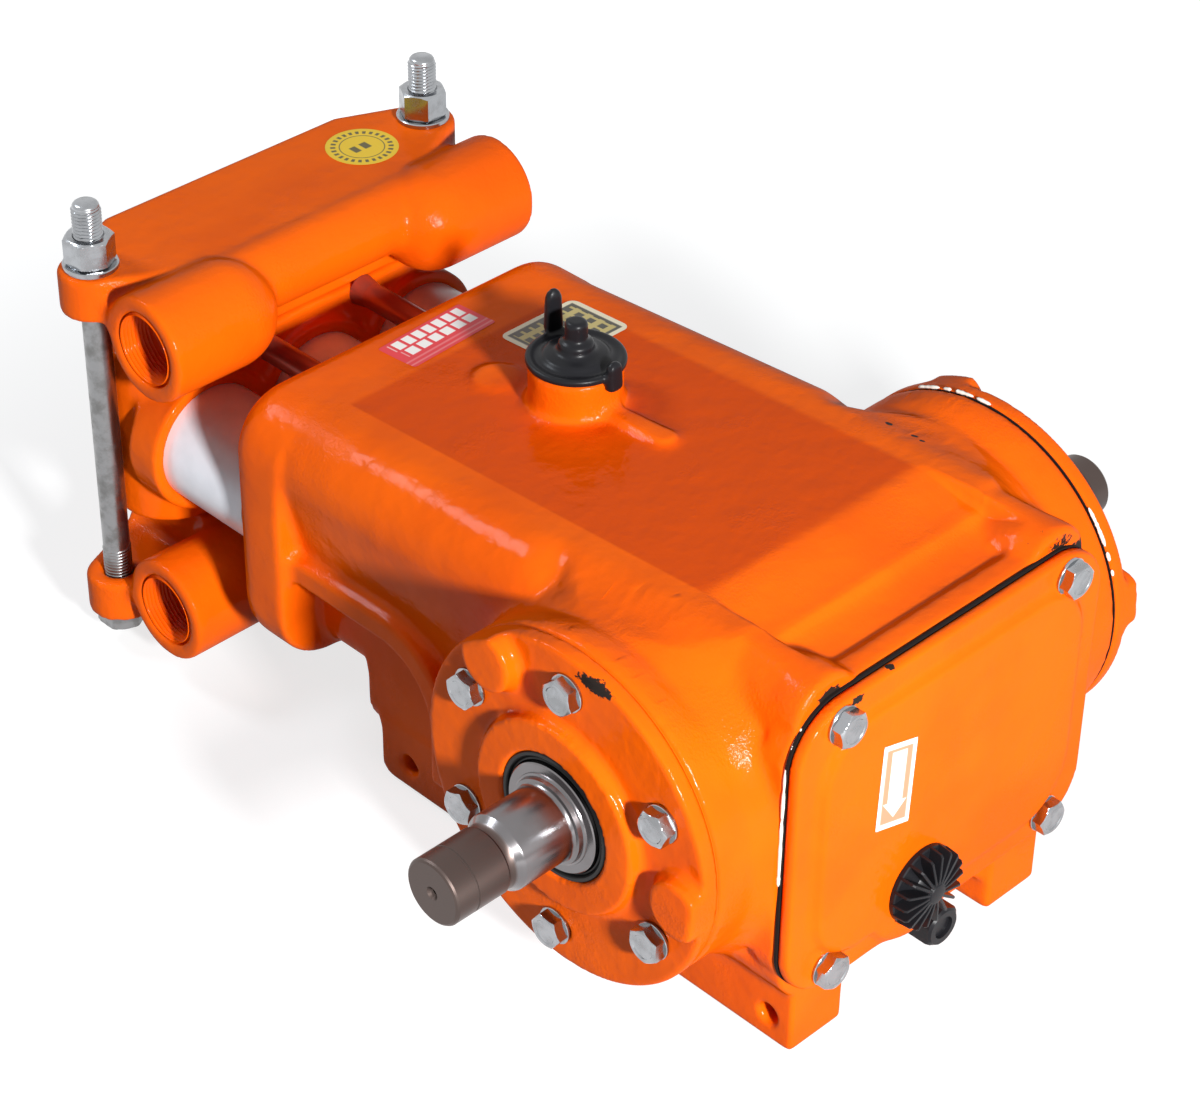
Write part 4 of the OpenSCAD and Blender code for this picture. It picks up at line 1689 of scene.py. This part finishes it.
@dataclass(frozen=True)
class OilCap:
    """Filler cap with a knob and two finger lugs.

    Attributes:
        x: Sideways place.
        y: Distance in front of the axis.
        rim_r: Radius of the rim.
        rim_t: Thickness of the rim.
        dish_r: Radius of the raised dish.
        ring_r: Radius of the ring round the knob.
        knob_r: Radius of the knob.
        knob_h: Height of the knob over the rim.
        lug: Width and thickness of the lugs.
        upright: Direction, reach below and above the rim of the upright lug.
        hanging: Direction, reach below and above the rim of the hanging lug.
        skin: How the moulding is rounded.
    """

    x: float = 5.0
    y: float = 154.5
    rim_r: float = 26.0
    rim_t: float = 4.0
    dish_r: float = 17.5
    ring_r: float = 9.4
    knob_r: float = 6.0
    knob_h: float = 20.0
    lug: tuple[float, float] = (10.6, 6.6)
    upright: tuple[float, float, float] = (72.0, 2.0, 24.0)
    hanging: tuple[float, float, float] = (272.0, 10.0, 7.0)
    skin: Skin = Skin(0.55, 1.5, 0.8, 46000)

    def build(self, finishes: Finishes, layout: Layout) -> None:
        """Makes the cap.

        Args:
            finishes: Materials.
            layout: Reference places.
        """
        low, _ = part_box("oil_filler_cap")
        base = low.z / MM + self.hanging[1] - self.rim_t
        top = self.rim_t
        disc = Shape.lathe(
            [(self.rim_r - 0.8, 0.0), (self.rim_r, 0.8), (self.rim_r, top - 1.2),
             (self.rim_r - 0.5, top - 0.3), (self.rim_r - 1.4, top),
             (self.rim_r - 3.0, top - 0.1), (self.rim_r - 4.4, top - 1.0),
             (self.dish_r + 1.2, top - 1.0), (self.dish_r, top + 0.2), (self.dish_r - 1.2, top + 1.4),
             (self.ring_r + 2.4, top + 2.4), (self.ring_r + 0.6, top + 3.2), (self.ring_r, top + 4.4),
             (self.ring_r - 0.3, top + 7.2), (self.ring_r - 1.3, top + 8.4), (self.knob_r + 0.3, top + 8.8),
             (self.knob_r, top + 10.0), (self.knob_r - 0.1, top + self.knob_h - 2.0),
             (self.knob_r - 0.9, top + self.knob_h - 0.5), (self.knob_r - 2.2, top + self.knob_h)], 96,
        )
        shape = disc.joined(self.blade(*self.upright), self.blade(*self.hanging))
        skin = self.skin.cast(shape)
        at = Matrix.Translation(Vector((self.x, layout.axis_y + self.y, base)))
        add_piece("oil_filler_cap_moulded", skin.moved(at), Body.PUMP, finishes.plastic,
                  ("oil_filler_cap",), 60.0)

    def blade(self, angle: float, down: float, up: float) -> Shape:
        """Finger lug with rounded ends, tapering upwards.

        Args:
            angle: Direction from the middle of the cap, in degrees.
            down: Reach below the top of the rim.
            up: Reach above it.

        Returns:
            The lug.
        """
        rings = []
        low = self.rim_t - down
        high = self.rim_t + up
        middle = self.rim_r + 0.2
        for k in range(13):
            share = k / 12
            height = low + (high - low) * share
            end = math.sqrt(max(0.0, 1 - max(0.0, (share - 0.78) / 0.22) ** 2))
            start = math.sqrt(max(0.0, 1 - max(0.0, (0.14 - share) / 0.14) ** 2))
            grow = max(0.3, min(end, start))
            wide = self.lug[0] / 2 * (1.0 - 0.22 * share) * grow
            deep = self.lug[1] / 2 * (1.0 - 0.2 * share) * grow
            corners = ring(1.0, 0.0, 24)
            square = np.sign(corners[:, :2]) * np.abs(corners[:, :2]) ** 0.7
            out = middle + square[:, 0] * deep
            rings.append(np.column_stack([out, square[:, 1] * wide, np.full(24, height)]))
        return Shape.loft(rings).moved(Matrix.Rotation(math.radians(angle), 4, "Z"))


@dataclass(frozen=True)
class OilPlugs:
    """Finned level plug and drain plug.

    Attributes:
        level_x: Sideways place of the level plug.
        level_z: Height of the level plug from the axis.
        face_y: Distance of its seat behind the axis.
        radius: Radius over the fins.
        height: Height of the hub.
        fins: Number of fins.
        fin_t: Thickness of each fin.
        hub_r: Radius of the hub.
        flats: Distance across the flats of the drain plug.
    """

    level_x: float = -20.0
    level_z: float = -56.0
    face_y: float = 109.6
    radius: float = 22.0
    height: float = 13.0
    fins: int = 18
    fin_t: float = 1.5
    hub_r: float = 6.6
    flats: float = 21.0

    def build(self, finishes: Finishes, layout: Layout) -> None:
        """Makes both plugs.

        Args:
            finishes: Materials.
            layout: Reference places.
        """
        base = Shape.lathe(
            [(self.radius - 1.2, 0.0), (self.radius - 0.4, 0.6), (self.radius - 0.4, 2.6),
             (self.radius - 1.2, 3.2), (self.radius - 6.0, 3.4), (self.hub_r + 3.0, 5.2),
             (self.hub_r + 0.4, 8.6), (self.hub_r, self.height - 1.6),
             (self.hub_r - 1.4, self.height - 0.3), (self.hub_r - 3.2, self.height)], 72,
        )
        turns = [Matrix.Rotation(2 * math.pi * k / self.fins, 4, "Z") for k in range(self.fins)]
        fins = [self.fin().moved(turn) for turn in turns]
        at = layout.at(self.level_x, -self.face_y, self.level_z)
        shape = base.joined(*fins).moved(facing((0, -1, 0), at))
        add_piece("oil_level_plug_moulded", shape, Body.PUMP, finishes.plastic,
                  ("oil_level_plug",), 30.0)
        self.drain(finishes)

    def fin(self) -> Shape:
        """One radial fin, slightly lower at its rim than at the hub.

        Returns:
            The fin.
        """
        half = self.fin_t / 2
        outline = [
            (self.hub_r - 1.0, 2.0), (self.radius - 0.2, 2.0), (self.radius, 3.0), (self.radius - 0.5, 9.6),
            (self.radius - 1.6, 10.9), (self.hub_r + 3.5, self.height - 0.9),
            (self.hub_r - 1.0, self.height - 0.7),
        ]
        rings = []
        for y, inset in ((half, 0.25), (half - 0.3, 0.0), (-half + 0.3, 0.0), (-half, 0.25)):
            section = [(x - inset * (x > self.hub_r), y, z - inset * (z > 5)) for x, z in outline]
            rings.append(np.array(section))
        return Shape.loft(rings)

    def drain(self, finishes: Finishes) -> None:
        """Makes the drain plug from the box of its CAD node.

        Args:
            finishes: Materials.
        """
        low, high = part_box("drain_plug")
        middle = (low + high) / 2 / MM
        length = (high.y - low.y) / MM
        corner = self.flats / math.sqrt(3)
        outline = (
            (corner, 0.0), (corner, length - 2.6), (corner * 0.94, length - 1.2), (self.flats * 0.46, length),
            (self.flats * 0.3, length), (self.flats * 0.28, length - 2.0),
        )
        rings = [hex_ring(self.flats, limit, height) for limit, height in outline]
        at = Vector((middle.x, high.y / MM, middle.z))
        add_piece("drain_plug_moulded", Shape.loft(rings).moved(facing((0, -1, 0), at)), Body.PUMP,
                  finishes.plastic, ("drain_plug",), 24.0)


@dataclass(frozen=True)
class Sticker:
    """A sheet of film laid on a casting.

    Attributes:
        name: Name of the piece.
        node: CAD node that it lies on.
        centre: Its place in the row frame.
        width: Direction and length of its width.
        height: Direction and length of its height.
        corner: Corner radius.
        off: Distance off the casting.
        reach: Distance from which the sheet is laid down.
        cells: Columns and rows of the sheet's mesh.
    """

    name: str
    node: str
    centre: tuple[float, float, float]
    width: tuple[float, float, float]
    height: tuple[float, float, float]
    corner: float = 1.5
    off: float = 0.25
    reach: float = 30.0
    cells: tuple[int, int] = (36, 26)

    def build(self, skin: Shape, finish: bpy.types.Material) -> None:
        """Lays the sticker on the casting.

        Args:
            skin: The casting.
            finish: Material.
        """
        tree = BVHTree.FromPolygons(skin.verts.tolist(), skin.faces)
        across, up = Vector(self.width), Vector(self.height)
        out = across.cross(up).normalized()
        wide, high = across.length / 2, up.length / 2
        columns, rows = self.cells
        verts, sheet = [], []
        for j in range(rows + 1):
            for i in range(columns + 1):
                x, y = self.rounded((2 * i / columns - 1) * wide, (2 * j / rows - 1) * high, wide, high)
                spot = Vector(self.centre) + across.normalized() * x + up.normalized() * y
                hit = tree.ray_cast(spot + out * self.reach, -out)[0]
                verts.append(tuple(spot if hit is None else hit + out * self.off))
                sheet.append((x / wide / 2 + 0.5, y / high / 2 + 0.5))
        step = columns + 1
        corners = (0, 1, step + 1, step)
        faces = [tuple(j * step + i + k for k in corners) for j in range(rows) for i in range(columns)]
        obj = add_piece(self.name, Shape(np.array(verts), faces), Body.PUMP, finish, sharp=60.0)
        layer = obj.data.uv_layers.new(name="sheet")
        for loop in obj.data.loops:
            layer.data[loop.index].uv = sheet[loop.vertex_index]

    def rounded(self, x: float, y: float, wide: float, high: float) -> tuple[float, float]:
        """Pulls a corner point onto the rounded outline.

        Args:
            x: Place along the width.
            y: Place along the height.
            wide: Half width.
            high: Half height.

        Returns:
            The place inside the outline.
        """
        over_x = abs(x) - (wide - self.corner)
        over_y = abs(y) - (high - self.corner)
        if over_x <= 0 or over_y <= 0:
            return x, y
        pull = min(1.0, max(over_x, over_y) / math.hypot(over_x, over_y))
        return (
            math.copysign(wide - self.corner + over_x * pull, x),
            math.copysign(high - self.corner + over_y * pull, y),
        )


@dataclass(frozen=True)
class Stickers:
    """All stickers of the pump.

    Attributes:
        bars: Block marks at the front of the crankcase.
        plate: Framed plate beside the filler.
        arrow: Arrow on the rear cover.
        ring: Round sticker on the discharge manifold.
    """

    bars: Sticker = Sticker(
        "sticker_bars", "crankcase", (1.0, 102.0, 213.0), (61.0, 4.0, 0.0), (-2.0, 27.0, -1.2)
    )
    plate: Sticker = Sticker(
        "sticker_plate", "crankcase", (50.0, 56.0, 213.0), (54.0, 0.0, 0.0), (0.0, 44.0, -3.0), 5.0
    )
    arrow: Sticker = Sticker(
        "sticker_arrow", "rear_cover", (-43.5, -262.0, 150.0), (24.0, 0.0, -7.0), (2.0, 0.0, 50.0), 0.6
    )
    ring: Sticker = Sticker(
        "sticker_ring", "discharge_manifold", (69.5, 238.2, 241.5), (41.0, 0.0, 0.0), (0.0, 41.0, 0.0), 20.5
    )

    def build(self, skins: dict[str, Shape], finishes: Finishes) -> None:
        """Lays each sticker on its casting.

        Args:
            skins: The casting skins by the name of their CAD node.
            finishes: Materials.
        """
        pairs = (
            (self.bars, finishes.bars),
            (self.plate, finishes.plate),
            (self.arrow, finishes.arrow),
            (self.ring, finishes.ring),
        )
        for sticker, finish in pairs:
            sticker.build(skins[sticker.node], finish)


@dataclass(frozen=True)
class FillerBeads:
    """Irregular white filler in the joints.

    Attributes:
        joint_r: Radius of the far bearing joint.
        joint_x: Its distance from the middle.
        dashes: Start and end angles of the dashes on it, from +Y towards +Z.
        rear: Points along the rear joint, in X and Z from the axis.
        rear_y: Distance of the rear joint behind the axis.
        dash_size: Mean radius of the dashes.
        rear_size: Mean radius of the bead in the rear joint.
        seed: Seed of the lumps.
    """

    joint_r: float = 93.1
    joint_x: float = 144.4
    dashes: tuple[tuple[float, float], ...] = (
        (61, 70), (72, 75), (77, 84), (85.5, 91), (137, 150), (152, 155), (158, 160),
    )
    rear: tuple[tuple[float, float], ...] = (
        (-98.5, 77.0), (-105.0, 68.0), (-108.4, 56.0), (-109.2, 30.0), (-109.2, 0.0), (-109.2, -13.0),
    )
    rear_y: float = 97.4
    dash_size: float = 0.95
    rear_size: float = 0.9
    seed: int = 7

    def build(self, finishes: Finishes, layout: Layout) -> None:
        """Makes the beads.

        Args:
            finishes: Materials.
            layout: Reference places.
        """
        rng = np.random.default_rng(self.seed)
        beads = []
        for start, end in self.dashes:
            angles = np.radians(np.linspace(start, end, 4 + int(end - start)))
            spots = polar(self.joint_r, angles, self.joint_x)
            path = [layout.at(x, y, z) for y, z, x in spots.tolist()]
            beads.append(self.bead(path, self.dash_size, rng))
        path = []
        for (x0, z0), (x1, z1) in zip(self.rear, self.rear[1:]):
            for k in range(8):
                share = k / 8
                path.append(layout.at(x0 + (x1 - x0) * share, -self.rear_y, z0 + (z1 - z0) * share))
        beads.append(self.bead(path, self.rear_size, rng))
        add_piece("joint_filler", beads[0].joined(*beads[1:]), Body.PUMP, finishes.filler)

    def bead(self, path: list[Vector], radius: float, rng: np.random.Generator) -> Shape:
        """Sweeps a lumpy bead along a path.

        Args:
            path: Points of the path.
            radius: Mean radius.
            rng: Source of the lumps.

        Returns:
            The bead.
        """
        rings = []
        for k, point in enumerate(path):
            ahead = path[min(k + 1, len(path) - 1)] - path[max(k - 1, 0)]
            size = radius * (0.35 if k in (0, len(path) - 1) else rng.uniform(0.75, 1.2))
            matrix = facing(tuple(ahead), point)
            rings.append(Shape(ring(size, 0.0, 10), []).moved(matrix).verts)
        return Shape.loft(rings)


@dataclass(frozen=True)
class KeptNodes:
    """CAD nodes that show as they are, with a finish on them.

    Attributes:
        sleeve_bevel: Bevel along the sharp edges of the sleeves.
    """

    sleeve_bevel: float = 0.8

    def build(self, frame: dict, finishes: Finishes) -> None:
        """Dresses the gasket, the shims, the spacer rods and the sleeves.

        Args:
            frame: The loaded CAD frame.
            finishes: Materials.
        """
        looks = {
            "rear_cover_gasket": finishes.gasket,
            "cover_shim_left": finishes.enamel,
            "cover_shim_right": finishes.gasket,
        }
        for row in ("upper", "lower"):
            for side in ("left", "right"):
                # Spacer rods get the steel finish with the painted orange reflection
                looks[f"spacer_{row}_{side}"] = finishes.painted_reflection_rod
        for name, finish in looks.items():
            dress_node(frame["nodes"][name], finish)
        for place in ("left", "middle", "right"):
            dress_node(frame["nodes"][f"sleeve_{place}"], finishes.sleeve, self.sleeve_bevel)


@dataclass(frozen=True)
class PhotoCamera:
    """Camera fitted to the photograph.

    Attributes:
        azimuth: Direction from the aim to the camera, from -Y towards +X, in degrees.
        elevation: Height angle, in degrees.
        roll: Roll, in degrees.
        distance: Distance from the aim.
        focal: Focal length in pixels.
        picture_w: Width in pixels of the picture that the focal length is counted in.
        sensor: Width of the sensor.
        aim: Point that the camera looks at.
    """

    azimuth: float = -45.10
    elevation: float = 36.09
    roll: float = 0.82
    distance: float = 1688.0
    focal: float = 3293.18
    picture_w: float = 1200.0
    sensor: float = 36.0
    aim: tuple[float, float, float] = (-8.68, -30.84, 143.73)

    def build(self) -> None:
        """Makes the camera and gives it to the scene."""
        a, e, r = (math.radians(value) for value in (self.azimuth, self.elevation, self.roll))
        across = Vector((math.cos(a), math.sin(a), 0))
        back = Vector((math.sin(a) * math.cos(e), -math.cos(a) * math.cos(e), math.sin(e)))
        up = back.cross(across)
        right = across * math.cos(r) + up * math.sin(r)
        above = up * math.cos(r) - across * math.sin(r)
        turn = Matrix((right, above, back)).transposed().to_4x4()
        data = bpy.data.cameras.new("photo_camera")
        data.sensor_width = self.sensor
        data.lens = self.focal / self.picture_w * self.sensor
        data.clip_end = 50.0
        camera = add_object("photo_camera", data)
        camera.matrix_world = Matrix.Translation((Vector(self.aim) + back * self.distance) * MM) @ turn
        bpy.context.scene.camera = camera
        LOG.info("camera placed")


@dataclass(frozen=True)
class Lamp:
    """Soft area light.

    Attributes:
        name: Its name.
        place: Where it stands, in metres.
        power: Power in watts.
        width: Width in metres.
        height: Height in metres.
        colour: Colour of the light.
    """

    name: str
    place: tuple[float, float, float]
    power: float
    width: float
    height: float
    colour: tuple[float, float, float] = (1.0, 1.0, 1.0)

    def build(self, aim: Vector) -> None:
        """Makes the light.

        Args:
            aim: Point that it faces, in metres.
        """
        data = bpy.data.lights.new(self.name, "AREA")
        data.shape = "RECTANGLE"
        data.size = self.width
        data.size_y = self.height
        data.energy = self.power
        data.color = self.colour
        lamp = add_object(self.name, data)
        lamp.location = self.place
        lamp.rotation_euler = (aim - Vector(self.place)).to_track_quat("-Z", "Y").to_euler()
        LOG.info("lamp %s placed", self.name)


@dataclass(frozen=True)
class Studio:
    """Pale floor, dim surroundings and soft lamps.

    Attributes:
        lamps: The lamps.
        world: Brightness of the surroundings.
        floor_half: Half size of the floor in metres.
        aim: Point that the lamps face, in metres.
    """

    lamps: tuple[Lamp, ...] = (
        Lamp("key", (-0.65, -1.66, 0.89), 66.0, 0.17, 0.17),
        Lamp("fill", (-0.57, 1.18, 1.52), 13.0, 0.5, 0.5, (0.86, 0.93, 1.0)),
    )
    world: float = 0.07
    floor_half: float = 7.0
    aim: tuple[float, float, float] = (0.0, 0.0, 0.15)

    def build(self) -> None:
        """Makes the floor, the world and the lamps."""
        scene = bpy.context.scene
        scene.view_settings.view_transform = "Standard"
        world = bpy.data.worlds.new("studio")
        world.use_nodes = True
        background = world.node_tree.nodes["Background"]
        background.inputs["Color"].default_value = (1.0, 1.0, 1.0, 1.0)
        path = world.node_tree.nodes.new("ShaderNodeLightPath")
        strength = None
        for name in ("Is Camera Ray", "Is Glossy Ray", "Is Transmission Ray"):
            node = world.node_tree.nodes.new("ShaderNodeMath")
            node.operation = "MAXIMUM"
            node.inputs[0].default_value = self.world
            world.node_tree.links.new(path.outputs[name], node.inputs[1])
            if strength is not None:
                world.node_tree.links.new(strength, node.inputs[0])
            strength = node.outputs[0]
        world.node_tree.links.new(strength, background.inputs["Strength"])
        scene.world = world
        for lamp in self.lamps:
            lamp.build(Vector(self.aim))
        half = self.floor_half
        mesh = bpy.data.meshes.new("floor")
        corners = [(-half, -half, -MM), (half, -half, -MM), (half, half, -MM), (-half, half, -MM)]
        mesh.from_pydata(corners, [], [(0, 1, 2, 3)])
        mesh.materials.append(self.floor_finish())
        floor = add_object("floor", mesh)
        LOG.info("studio set")

    def floor_finish(self) -> bpy.types.Material:
        """White to the camera and in reflections, dim as a source of light, and shaded under the pump.

        Returns:
            The material.
        """
        graph = Graph("studio_floor")
        graph.surface(Base_Color=(0.3, 0.3, 0.3, 1.0), Roughness=0.9, Specular_IOR_Level=0.0)
        path = graph.tree.nodes.new("ShaderNodeLightPath")
        seen = graph.math("MAXIMUM", path.outputs["Is Camera Ray"], path.outputs["Is Glossy Ray"])
        seen = graph.math("MAXIMUM", seen, path.outputs["Is Transmission Ray"])
        far = graph.ease(graph.vector("LENGTH", graph.place, (0, 0, 0)), 0.35, 0.9)
        glow = graph.math("MULTIPLY_ADD", far, 0.26, 0.76)
        graph.surface(
            Emission_Color=(1.0, 1.0, 1.0, 1.0),
            Emission_Strength=graph.product(seen, glow),
        )
        return graph.material


def main() -> None:
    """Builds the looks of the pump round its frame."""
    logging.basicConfig(level=logging.INFO, format="%(message)s")
    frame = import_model()
    layout = Layout.read()
    finishes = Finishes()
    skins = Castings().build(frame, finishes, layout)
    parts = (
        BoltSets(), DriveShaft(), ShaftSeals(), TieRods(), PortThreads(), OilCap(), OilPlugs(), FillerBeads(),
    )
    for part in parts:
        part.build(finishes, layout)
    KeptNodes().build(frame, finishes)
    Stickers().build(skins, finishes)
    PhotoCamera().build()
    Studio().build()


if __name__ == "__main__":
    main()
